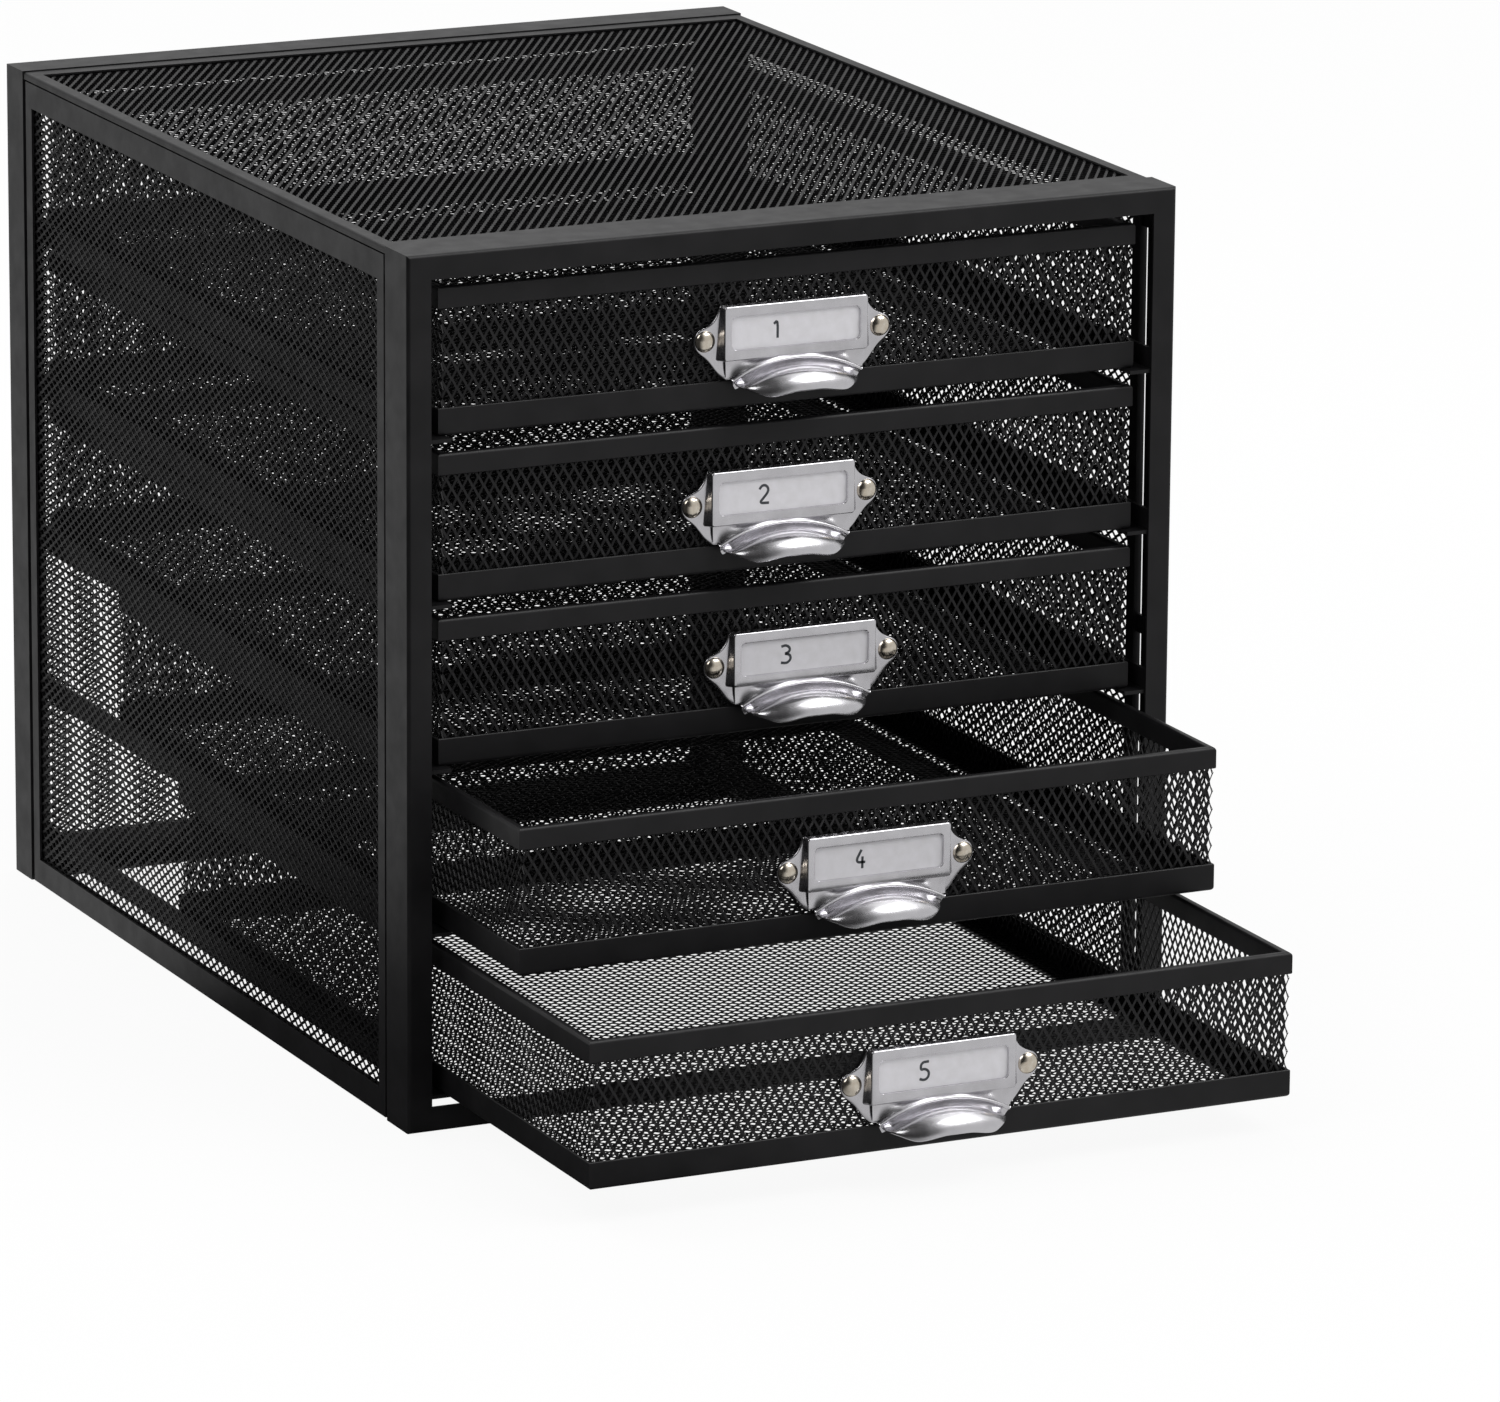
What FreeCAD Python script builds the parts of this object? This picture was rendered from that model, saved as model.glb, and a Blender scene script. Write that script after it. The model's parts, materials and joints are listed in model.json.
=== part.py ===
# Desktop cabinet with five pull-out drawers of expanded metal.
# X runs along the front, Y from the front to the back, Z up. Lengths are in millimetres.
# The origin is under the middle of the whole thing, on the table top.
import FreeCAD, Part
import math
import os
import Sketcher

DRAWERS = 5
ROWS = range(1, DRAWERS + 1)

doc = FreeCAD.newDocument("mini_drawers")
sheet = doc.addObject("Spreadsheet::Sheet", "Sizes")

# Driving dimensions
DRIVING = [
    # Cabinet and its two portal frames of folded angle
    ("cabinet_width", "265"),
    ("cabinet_depth", "338"),
    ("cabinet_height", "280"),
    ("frame_sheet", "1"),
    ("frame_bend", "1.2"),
    ("frame_face", "8"),
    ("front_flange", "17.2"),
    ("rear_flange", "15.4"),
    # Mesh panels and the folded edging that grips them
    ("panel_mesh", "0.8"),
    ("slot_play", "0.1"),
    ("hem_fold", "0.9"),
    ("side_slit", "1.9"),
    ("side_recess", "0.3"),
    ("side_thick", "2.6"),
    ("side_strip", "5.2"),
    ("side_top_strip", "8.4"),
    ("side_foot_strip", "8.4"),
    ("side_lift", "0.4"),
    ("top_slit", "0.6"),
    ("top_recess", "0.4"),
    ("top_inset", "0.3"),
    ("top_thick", "2.2"),
    ("top_side_strip", "4.5"),
    ("top_end_strip", "6"),
    ("top_round", "0.9"),
    ("side_top_gap", "0.5"),
    ("rear_thick", "2.6"),
    ("rear_play", "1.2"),
    ("rear_strip", "9"),
    # Tabs that tie the panels to the frames
    ("lug_width", "6"),
    ("lug_lap", "4"),
    ("lug_foot", "21"),
    ("lug_sink", "6"),
    ("lug_head", "13"),
    ("lug_inset", "27.5"),
    # Runners, one angle on each side of each drawer
    ("runner_sheet", "1.2"),
    ("runner_shelf", "8.6"),
    ("runner_web", "7.8"),
    ("runner_lap", "1.5"),
    ("first_runner", "11.5"),
    ("top_clearance", "6"),
    # Drawers
    ("drawer_gap", "5.5"),
    ("drawer_inset", "12.2"),
    ("drawer_recess", "4.5"),
    ("drawer_rear_gap", "1.5"),
    ("drawer_sheet", "0.9"),
    ("drawer_mesh", "1"),
    ("rim_height", "7"),
    ("rim_bevel", "0.8"),
    ("band_height", "8.8"),
    ("band_shelf", "8"),
    # How far each drawer stands open
    ("open_1", "0"),
    ("open_2", "0"),
    ("open_3", "0"),
    ("open_4", "58"),
    ("open_5", "113.5"),
    ("drift_1", "0"),
    ("drift_2", "0"),
    ("drift_3", "0"),
    ("drift_4", "1.5"),
    ("drift_5", "0"),
    # Where each pull is riveted, to the right of the middle and above its lowest place
    ("pull_shift_1", "0"),
    ("pull_shift_2", "-4"),
    ("pull_shift_3", "4"),
    ("pull_shift_4", "0.7"),
    ("pull_shift_5", "-2.3"),
    ("pull_lift_1", "0"),
    ("pull_lift_2", "0"),
    ("pull_lift_3", "0"),
    ("pull_lift_4", "0.8"),
    ("pull_lift_5", "0.5"),
    # Label holder, ears and rivets of a pull
    ("label_width", "49.6"),
    ("label_base_share", "0.332"),
    ("label_gap_share", "0.149"),
    ("label_proud", "3.4"),
    ("label_side", "2.6"),
    ("label_edge", "3.4"),
    ("window_round", "2"),
    ("card_back", "2.2"),
    ("card_slot", "0.7"),
    ("card_thick", "0.4"),
    ("card_lap", "1.3"),
    ("card_play", "0.2"),
    ("ear_height", "7.6"),
    ("ear_length", "3.9"),
    ("ear_round", "3.6"),
    ("ear_neck", "1.4"),
    ("neck_round", "5"),
    ("rivet_reach", "5.4"),
    ("rivet_level_share", "0.368"),
    ("rivet_head", "3.6"),
    ("rivet_dome", "2.2"),
    ("skirt_drop", "4.8"),
    ("skirt_gap", "0.2"),
    ("skirt_taper", "3.4"),
    # Cup under the label holder
    ("cup_half", "20.8"),
    ("cup_reach", "14.7"),
    ("cup_level_share", "0.32"),
    ("cup_crown_share", "0.768"),
    ("cup_wall", "1.2"),
    # Raised arch that the cup grows from
    ("arch_half", "22.2"),
    ("arch_end_share", "0.603"),
    ("arch_top_share", "0.994"),
    ("arch_foot_half", "18.3"),
    ("arch_foot_share", "0.423"),
    ("arch_proud", "4.3"),
    ("arch_flare_share", "1.08"),
    # Strand of the open nets and the margin round their gaps
    ("net_strand", "2.6"),
    ("net_margin", "1.5"),
    # Reach of a cut past the solid that it crosses
    ("overrun", "1"),
]

# Sizes worked out from the driving ones
DERIVED = [
    ("half_width", "=cabinet_width / 2"),
    ("lug_low", "=lug_foot"),
    ("lug_middle", "=cabinet_height / 2 - lug_sink"),
    ("lug_high", "=cabinet_height - lug_head"),
    ("lug_spread", "=half_width - lug_inset"),
    ("drawer_pitch", "=(cabinet_height - first_runner - top_clearance) / %d" % DRAWERS),
    ("drawer_height", "=drawer_pitch - drawer_gap"),
    ("side_top", "=cabinet_height - top_recess - top_thick - side_top_gap"),
    ("panel_slot", "=panel_mesh + 2 * slot_play"),
    ("panel_front", "=front_flange + side_slit"),
    ("panel_rear", "=cabinet_depth - rear_flange - side_slit"),
    ("top_front", "=front_flange + top_slit"),
    ("top_rear", "=cabinet_depth - rear_flange - top_slit"),
    ("rear_face", "=cabinet_depth - frame_sheet - rear_thick"),
    ("runner_side", "=half_width - frame_face + runner_lap"),
    ("runner_length", "=rear_face - frame_sheet"),
    ("drawer_half", "=half_width - drawer_inset"),
    ("drawer_length", "=rear_face - drawer_rear_gap - drawer_recess"),
    ("drawer_slot", "=drawer_mesh + 2 * slot_play"),
    ("rim_thick", "=2 * drawer_sheet + drawer_slot"),
    ("net_face", "=drawer_sheet + slot_play"),
    ("net_inside", "=net_face + drawer_mesh"),
    ("floor_top", "=drawer_sheet + drawer_mesh"),
    ("net_top", "=drawer_height - drawer_sheet - slot_play"),
    ("label_base", "=drawer_height * label_base_share"),
    ("label_height", "=drawer_height * (1 - label_gap_share) - rim_height - label_base"),
    ("cup_level", "=label_base * cup_level_share"),
    ("cup_crown", "=label_base * cup_crown_share"),
    ("arch_end", "=label_base * arch_end_share"),
    ("arch_top", "=label_base * arch_top_share"),
    ("arch_foot", "=label_base * arch_foot_share"),
    ("rivet_span", "=label_width + 2 * rivet_reach"),
    ("rivet_height", "=label_base + label_height * rivet_level_share"),
    ("label_top", "=label_base + label_height"),
    ("label_half", "=label_width / 2"),
    ("ear_reach", "=rivet_span / 2 + ear_length"),
    ("ear_top", "=rivet_height + ear_height / 2"),
    ("ear_bottom", "=rivet_height - ear_height / 2"),
    ("skirt_foot", "=band_height + skirt_gap"),
    ("skirt_corner", "=label_base - skirt_drop"),
    ("card_foot", "=label_base + label_edge - card_lap"),
    ("card_half", "=label_half - label_side + card_lap"),
    ("open_reach", "=open_5 - drawer_recess + cup_reach"),
    ("cabinet_front", "=(open_reach - cabinet_depth) / 2"),
]

for row, (alias, value) in enumerate(DRIVING + DERIVED, start=1):
    sheet.set("A%d" % row, alias)
    sheet.set("B%d" % row, value)
    sheet.setAlias("B%d" % row, alias)
doc.recompute()


def size(name):
    return float(getattr(sheet, name))


def value_of(expression):
    return float(sheet.evalExpression(expression))


def in_sheet(expression):
    """The expression with each alias of the sheet written as Sizes.alias."""
    words = expression.replace("(", " ( ").replace(")", " ) ").split()
    named = ["Sizes." + word if word[0].isalpha() and word != "sqrt" else word for word in words]
    return " ".join(named).replace("sqrt (", "sqrt(")


# Sketches and features
START, END = range(1, 3)


def origin_plane(body, role):
    return next(item for item in body.Origin.OriginFeatures if item.Role == role)


def new_sketch(body, role, name, offset="0", lift="0"):
    """A sketch on an origin plane, moved along its normal by offset and up by lift."""
    sketch = body.newObject("Sketcher::SketchObject", name)
    sketch.AttachmentSupport = [(origin_plane(body, role), "")]
    sketch.MapMode = "FlatFace"
    if offset != "0":
        sketch.setExpression("AttachmentOffset.Base.z", in_sheet(offset))
    if lift != "0":
        sketch.setExpression("AttachmentOffset.Base.y", in_sheet(lift))
    return sketch


def fix_point(sketch, edge, point, place):
    """Ties one end of an edge to a place given by two expressions."""
    for axis, kind, expression in (("x", "DistanceX", place[0]), ("y", "DistanceY", place[1])):
        if expression == "0":
            line = -2 if axis == "x" else -1
            sketch.addConstraint(Sketcher.Constraint("PointOnObject", edge, point, line))
            continue
        text = in_sheet(expression)
        value = value_of(text)
        index = sketch.addConstraint(Sketcher.Constraint(kind, -1, 1, edge, point, value))
        name = "%s_%d" % (axis, edge)
        sketch.renameConstraint(index, name)
        sketch.setExpression("Constraints." + name, text)


def outline(sketch, places, bulges=None):
    """A closed outline through the places. bulges gives, for the edge that starts at a place,
    the point that its arc passes and the expression of its radius."""
    bulges = bulges or {}
    first = sketch.GeometryCount
    points = [FreeCAD.Vector(value_of(in_sheet(x)), value_of(in_sheet(y)), 0) for x, y in places]
    count = len(points)
    starts = []
    for index, start in enumerate(points):
        end = points[(index + 1) % count]
        if index in bulges:
            through, radius = bulges[index]
            middle = FreeCAD.Vector(value_of(in_sheet(through[0])), value_of(in_sheet(through[1])), 0)
            arc = Part.Arc(start, middle, end)
            edge = sketch.addGeometry(arc, False)
            ends = [sketch.getPoint(edge, point) for point in (START, END)]
            begins = ends[0].distanceToPoint(start) < ends[1].distanceToPoint(start)
            starts.append(START if begins else END)
        else:
            sketch.addGeometry(Part.LineSegment(start, end), False)
            starts.append(START)
    for index in range(count):
        follower = (index + 1) % count
        ends = END if starts[index] == START else START
        joint = Sketcher.Constraint("Coincident", first + index, ends, first + follower, starts[follower])
        sketch.addConstraint(joint)
    for index, place in enumerate(places):
        fix_point(sketch, first + index, starts[index], place)
    for index, (through, radius) in bulges.items():
        text = in_sheet(radius)
        number = sketch.addConstraint(Sketcher.Constraint("Radius", first + index, value_of(text)))
        name = "radius_%d" % (first + index)
        sketch.renameConstraint(number, name)
        sketch.setExpression("Constraints." + name, text)


def rectangle(sketch, left, low, right, high):
    outline(sketch, [(left, low), (right, low), (right, high), (left, high)])


def new_body(name):
    body = doc.addObject("PartDesign::Body", name)
    body.Label = name
    return body


def pad(body, sketch, length, name, side="One side", back=False):
    feature = body.newObject("PartDesign::Pad", name)
    feature.Profile = sketch
    feature.setExpression("Length", in_sheet(length))
    feature.SideType = side
    feature.Reversed = back
    doc.recompute()
    return feature


def pocket(body, sketch, name, length=None, side="One side", back=False):
    """Cuts the sketch out of the body: right through both ways, or to a length."""
    before = body.Shape.Volume
    feature = body.newObject("PartDesign::Pocket", name)
    feature.Profile = sketch
    feature.SideType = side
    feature.Reversed = back
    if length is None:
        feature.Type = "ThroughAll"
    else:
        feature.setExpression("Length", in_sheet(length))
    doc.recompute()
    if not body.Shape.Volume < before:
        raise RuntimeError(body.Label + ": the cut " + name + " takes nothing away")
    return feature


def ease(body, kind, name, reach, along, wanted):
    """Rounds or bevels the edges that run along the axis and whose two ends pass the test."""
    before = body.Tip
    names = []
    for index, edge in enumerate(before.Shape.Edges, start=1):
        ends = [vertex.Point for vertex in edge.Vertexes]
        if len(ends) != 2:
            continue
        run = ends[1] - ends[0]
        if close_to(abs(getattr(run, along)), run.Length) and all(wanted(point) for point in ends):
            names.append("Edge%d" % index)
    feature = body.newObject("PartDesign::" + kind, name)
    feature.Base = (before, names)
    feature.setExpression("Radius" if kind == "Fillet" else "Size", in_sheet(reach))
    doc.recompute()
    return feature


def fillet(body, name, radius, along, wanted):
    return ease(body, "Fillet", name, radius, along, wanted)


def chamfer(body, name, reach, along, wanted):
    return ease(body, "Chamfer", name, reach, along, wanted)


def close_to(value, target):
    return math.isclose(value, target, abs_tol=size("slot_play") / 10)


def place_along_front(item):
    """Puts a piece drawn from the cabinet's front face at its place in the part."""
    item.setExpression("Placement.Base.y", "Sizes.cabinet_front")


def mirrored(source, name, normal, base=None):
    item = doc.addObject("Part::Mirroring", name)
    item.Label = name
    item.Source = source
    item.Normal = FreeCAD.Vector(*normal)
    if base:
        item.setExpression("Base." + base[0], in_sheet(base[1]))
    return item


nodes = []


def as_node(item):
    nodes.append(item)
    return item


def assembly_node(name, pieces, x="0", y="0", z="0"):
    """A sub-part that gathers the pieces and stands at its own place."""
    item = doc.addObject("Part::Compound", name)
    item.Label = name
    item.Links = pieces
    for axis, expression in (("x", x), ("y", y), ("z", z)):
        if expression != "0":
            item.setExpression("Placement.Base." + axis, in_sheet(expression))
    return as_node(item)


# Portal frames: four rails of folded angle, mitred at the corners
def portal(prefix, face, behind, flange):
    """face, behind and flange are the depths of the outer face, its back and the flange's edge."""
    post = new_body(prefix + "_left_post")
    sketch = new_sketch(post, "XY_Plane", prefix + "_post_section")
    outline(sketch, [
        ("- half_width", face),
        ("- half_width + frame_face", face),
        ("- half_width + frame_face", behind),
        ("- half_width + frame_sheet", behind),
        ("- half_width + frame_sheet", flange),
        ("- half_width", flange),
    ])
    pad(post, sketch, "cabinet_height", prefix + "_post_pad")
    round_bend(post, prefix + "_post", "x", -size("half_width"), face)
    mitre = new_sketch(post, "XZ_Plane", prefix + "_post_mitre")
    outline(mitre, [
        ("- half_width", "0"),
        ("- half_width + frame_face", "0"),
        ("- half_width + frame_face", "frame_face"),
    ])
    outline(mitre, [
        ("- half_width", "cabinet_height"),
        ("- half_width + frame_face", "cabinet_height"),
        ("- half_width + frame_face", "cabinet_height - frame_face"),
    ])
    pocket(post, mitre, prefix + "_post_ends", side="Symmetric")
    place_along_front(post)

    rail = new_body(prefix + "_top_rail")
    sketch = new_sketch(rail, "YZ_Plane", prefix + "_rail_section")
    outline(sketch, [
        (face, "cabinet_height"),
        (face, "cabinet_height - frame_face"),
        (behind, "cabinet_height - frame_face"),
        (behind, "cabinet_height - frame_sheet"),
        (flange, "cabinet_height - frame_sheet"),
        (flange, "cabinet_height"),
    ])
    pad(rail, sketch, "cabinet_width", prefix + "_rail_pad", side="Symmetric")
    round_bend(rail, prefix + "_rail", "z", size("cabinet_height"), face)
    mitre = new_sketch(rail, "XZ_Plane", prefix + "_rail_mitre")
    for sign in ("- ", ""):
        inner = "- half_width + frame_face" if sign else "half_width - frame_face"
        outline(mitre, [
            (sign + "half_width", "cabinet_height"),
            (sign + "half_width", "cabinet_height - frame_face"),
            (inner, "cabinet_height - frame_face"),
        ])
    pocket(rail, mitre, prefix + "_rail_ends", side="Symmetric")
    place_along_front(rail)

    as_node(post)
    as_node(mirrored(post, prefix + "_right_post", (1, 0, 0)))
    as_node(rail)
    as_node(mirrored(rail, prefix + "_bottom_rail", (0, 0, 1), ("z", "cabinet_height / 2")))


def round_bend(body, name, axis, outer, face):
    """Rounds the outside of an angle's bend."""
    front = value_of(in_sheet(face))

    def on_bend(point):
        return close_to(getattr(point, axis), outer) and close_to(point.y, front)

    fillet(body, name + "_bend", "frame_bend", "z" if axis == "x" else "x", on_bend)


portal("front", "0", "frame_sheet", "front_flange")
portal("rear", "cabinet_depth", "cabinet_depth - frame_sheet", "cabinet_depth - rear_flange")


# Nets of open diamonds
def diamond(centre, half_wide, half_high):
    corners = [
        centre + FreeCAD.Vector(half_wide, 0, 0),
        centre + FreeCAD.Vector(0, half_high, 0),
        centre - FreeCAD.Vector(half_wide, 0, 0),
        centre - FreeCAD.Vector(0, half_high, 0),
    ]
    return Part.makePolygon(corners + corners[:1])


def net(name, low, high, window_low, window_high, counts, thick):
    """A net between two corners, with staggered diamonds in the window. It is one holed face
    drawn in a plane and pushed to its thickness along the plane's normal."""
    columns, rows = counts
    strand = size("net_strand")
    margin = size("net_margin")
    across = (window_high[0] - window_low[0] - 2 * margin) / columns
    up = (window_high[1] - window_low[1] - 2 * margin) / rows
    slope = math.hypot(across, up)
    half_wide = across / 2 - strand / 2 * slope / up
    half_high = up / 2 - strand / 2 * slope / across
    start = FreeCAD.Vector(window_low[0] + margin, window_low[1] + margin, 0)
    holes = []
    for row in range(2 * rows - 1):
        between = row % 2
        for column in range(columns - between):
            place = FreeCAD.Vector((column + (1 + between) / 2) * across, (row + 1) / 2 * up, 0)
            holes.append(diamond(start + place, half_wide, half_high))
    rim = Part.makePolygon([
        FreeCAD.Vector(low[0], low[1], 0),
        FreeCAD.Vector(high[0], low[1], 0),
        FreeCAD.Vector(high[0], high[1], 0),
        FreeCAD.Vector(low[0], high[1], 0),
        FreeCAD.Vector(low[0], low[1], 0),
    ])
    face = Part.makeFace([rim] + holes, "Part::FaceMakerBullseye")
    item = doc.addObject("Part::Feature", name)
    item.Label = name
    item.Shape = face.extrude(FreeCAD.Vector(0, 0, thick))
    return item


def stand(item, x, y, z, axes):
    """Places a net: axes are the part's directions that the net's own X, Y and Z point along."""
    item.Placement = FreeCAD.Placement(FreeCAD.Vector(x, y, z), FreeCAD.Rotation(*axes, "XYZ"))


RIGHT = FreeCAD.Vector(1, 0, 0)
BACK = FreeCAD.Vector(0, 1, 0)
UP = FreeCAD.Vector(0, 0, 1)
FRONT = FreeCAD.Vector(0, -1, 0)


# Panel frames: one folded strip round a mesh, with the slot that grips it
def panel_frame(name, role, offset, thick, outer, strips, back):
    """outer is left, low, right, high. strips are the widths on those four sides. back says that
    the panel grows against its plane's normal. The slot for the mesh is half way through."""
    left, low, right, high = outer
    body = new_body(name)
    sketch = new_sketch(body, role, name + "_outline", offset)
    rectangle(sketch, left, low, right, high)
    rectangle(sketch, left + " + " + strips[0], low + " + " + strips[1],
              right + " - " + strips[2], high + " - " + strips[3])
    pad(body, sketch, thick, name + "_pad", back=back)
    shift = " - " if back else " + "
    middle = offset + shift + "( " + thick + " - panel_slot ) / 2"
    slot = new_sketch(body, role, name + "_slot", middle)
    rectangle(slot, left + " + hem_fold", low + " + hem_fold", right + " - hem_fold", high + " - hem_fold")
    pocket(body, slot, name + "_groove", length="panel_slot", back=not back)
    place_along_front(body)
    return body


def panel_net(name, outer, strips, counts):
    """The net that fills a panel frame's slot, drawn flat with the panel's own two directions."""
    left, low, right, high = [value_of(in_sheet(text)) for text in outer]
    widths = [size(strip) for strip in strips]
    inset = size("hem_fold") + size("slot_play")
    return net(
        name,
        (left + inset, low + inset),
        (right - inset, high - inset),
        (left + widths[0], low + widths[1]),
        (right - widths[2], high - widths[3]),
        counts,
        size("panel_mesh"),
    )


# Gaps of each net in a full row, and full rows
SIDE_COUNTS = (3, 12)
TOP_COUNTS = (12, 3)
REAR_COUNTS = (3, 12)
FLOOR_COUNTS = (12, 1)
DRAWER_FRONT_COUNTS = (12, 1)
DRAWER_SIDE_COUNTS = (12, 1)

SIDE_OUTER = ("panel_front", "side_lift", "panel_rear", "side_top")
SIDE_STRIPS = ("side_strip", "side_foot_strip", "side_strip", "side_top_strip")
TOP_OUTER = ("- half_width + top_inset", "top_front", "half_width - top_inset", "top_rear")
TOP_STRIPS = ("top_side_strip", "top_end_strip", "top_side_strip", "top_end_strip")
REAR_OUTER = (
    "- half_width + frame_sheet + rear_play",
    "frame_sheet + rear_play",
    "half_width - frame_sheet - rear_play",
    "cabinet_height - frame_sheet - rear_play",
)
REAR_STRIPS = ("rear_strip", "rear_strip", "rear_strip", "rear_strip")

side_frame = panel_frame(
    "left_panel_frame", "YZ_Plane", "- half_width + side_recess", "side_thick", SIDE_OUTER, SIDE_STRIPS, False)
side_mesh = panel_net("left_panel_mesh", SIDE_OUTER, SIDE_STRIPS, SIDE_COUNTS)
side_mesh_x = -size("half_width") + size("side_recess") + (size("side_thick") - size("panel_mesh")) / 2
stand(side_mesh, side_mesh_x, size("cabinet_front"), 0, (BACK, UP, RIGHT))
as_node(side_frame)
as_node(side_mesh)
as_node(mirrored(side_frame, "right_panel_frame", (1, 0, 0)))
as_node(mirrored(side_mesh, "right_panel_mesh", (1, 0, 0)))

top_frame = panel_frame(
    "top_panel_frame", "XY_Plane", "cabinet_height - top_recess - top_thick", "top_thick",
    TOP_OUTER, TOP_STRIPS, False)


def on_top_side_edge(point):
    edge = size("half_width") - size("top_inset")
    return close_to(abs(point.x), edge) and close_to(point.z, size("cabinet_height") - size("top_recess"))


fillet(top_frame, "top_panel_roll", "top_round", "y", on_top_side_edge)
top_mesh = panel_net("top_panel_mesh", TOP_OUTER, TOP_STRIPS, TOP_COUNTS)
top_mesh_z = size("cabinet_height") - size("top_recess") - (size("top_thick") + size("panel_mesh")) / 2
stand(top_mesh, 0, size("cabinet_front"), top_mesh_z, (RIGHT, BACK, UP))
as_node(top_frame)
as_node(top_mesh)

rear_frame = panel_frame(
    "rear_panel_frame", "XZ_Plane", "- rear_face", "rear_thick", REAR_OUTER, REAR_STRIPS, True)
rear_mesh = panel_net("rear_panel_mesh", REAR_OUTER, REAR_STRIPS, REAR_COUNTS)
rear_mesh_y = size("cabinet_front") + size("rear_face") + (size("rear_thick") + size("panel_mesh")) / 2
stand(rear_mesh, 0, rear_mesh_y, 0, (RIGHT, UP, FRONT))
as_node(rear_frame)
as_node(rear_mesh)


# Tabs across the slits between the panels and the frames
def lug(name, length, width, height, x, y, z):
    box = doc.addObject("Part::Box", name)
    for dimension, expression in (("Length", length), ("Width", width), ("Height", height)):
        box.setExpression(dimension, in_sheet(expression))
    for axis, expression in (("x", x), ("y", y), ("z", z)):
        box.setExpression("Placement.Base." + axis, in_sheet(expression))
    return box


def tie_tabs():
    """Each tab lies against the inside of a frame's flange and meets the panel's edge."""
    tabs = []
    front = "cabinet_front + front_flange - lug_lap"
    side_ends = (("front", front), ("rear", "cabinet_front + panel_rear"))
    top_ends = (("front", front), ("rear", "cabinet_front + top_rear"))
    for side, x in (("left", "- half_width + frame_sheet"), ("right", "half_width - 2 * frame_sheet")):
        for end, y in side_ends:
            for level in ("low", "middle", "high"):
                name = "_".join(("tab", side, end, level))
                z = "lug_" + level + " - lug_width / 2"
                tabs.append(lug(name, "frame_sheet", "lug_lap + side_slit", "lug_width", x, y, z))
    for end, y in top_ends:
        for step, spot in ((-1, "left"), (0, "middle"), (1, "right")):
            name = "_".join(("tab", "top", end, spot))
            x = "%d * lug_spread - lug_width / 2" % step
            z = "cabinet_height - 2 * frame_sheet"
            tabs.append(lug(name, "lug_width", "lug_lap + top_slit", "frame_sheet", x, y, z))
    return tabs


assembly_node("panel_tabs", tie_tabs())

# Runners
runner = new_body("runner_angle")
runner_sketch = new_sketch(runner, "XZ_Plane", "runner_section")
outline(runner_sketch, [
    ("- runner_side", "- runner_sheet"),
    ("- runner_side + runner_shelf", "- runner_sheet"),
    ("- runner_side + runner_shelf", "0"),
    ("- runner_side + runner_sheet", "0"),
    ("- runner_side + runner_sheet", "runner_web - runner_sheet"),
    ("- runner_side", "runner_web - runner_sheet"),
])
pad(runner, runner_sketch, "runner_length", "runner_pad", back=True)

runner_right = mirrored(runner, "runner_angle_right", (1, 0, 0))


def level(number):
    """The height of the shelf that a drawer stands on. Drawer 1 is the top one."""
    return "first_runner + %d * drawer_pitch" % (DRAWERS - number)


for number in ROWS:
    for side, piece in (("left", runner), ("right", runner_right)):
        assembly_node("runner_%d_%s" % (number, side), [piece], y="cabinet_front + frame_sheet", z=level(number))


# Drawer: rings of four mitred strips, drawn from the drawer's front face and underside
def ring(name, section, leg, rolled=None):
    """section is the strip's outline as (distance from the outer face, height), and rolled
    says which corners of it are bevelled."""
    front = new_body(name + "_front")
    sketch = new_sketch(front, "YZ_Plane", name + "_front_section")
    outline(sketch, section)
    pad(front, sketch, "2 * drawer_half", name + "_front_pad", side="Symmetric")
    if rolled:
        chamfer(front, name + "_front_roll", "rim_bevel", "x", lambda point: rolled(point.y, point.z))
    mitre = new_sketch(front, "XY_Plane", name + "_front_mitre")
    for sign, inner in (("- ", "- drawer_half + " + leg), ("", "drawer_half - " + leg)):
        outline(mitre, [(sign + "drawer_half", "0"), (sign + "drawer_half", leg), (inner, leg)])
    pocket(front, mitre, name + "_front_ends", side="Symmetric")

    left = new_body(name + "_left")
    sketch = new_sketch(left, "XZ_Plane", name + "_left_section")
    moved = [("- drawer_half" if depth == "0" else "- drawer_half + " + depth, high) for depth, high in section]
    outline(sketch, moved)
    pad(left, sketch, "drawer_length", name + "_left_pad", back=True)
    edge = size("drawer_half")
    if rolled:
        chamfer(left, name + "_left_roll", "rim_bevel", "y", lambda point: rolled(point.x + edge, point.z))
    mitre = new_sketch(left, "XY_Plane", name + "_left_mitre")
    inner = "- drawer_half + " + leg
    outline(mitre, [("- drawer_half", "0"), (inner, "0"), (inner, leg)])
    outline(mitre, [("- drawer_half", "drawer_length"), (inner, "drawer_length"), (inner, "drawer_length - " + leg)])
    pocket(left, mitre, name + "_left_ends", side="Symmetric")

    rear = mirrored(front, name + "_rear", (0, 1, 0), ("y", "drawer_length / 2"))
    right = mirrored(left, name + "_right", (1, 0, 0))
    return [front, rear, left, right]


def on_rim_top(depth, high):
    at_face = close_to(depth, 0) or close_to(depth, size("rim_thick"))
    return at_face and close_to(high, size("drawer_height"))


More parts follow.
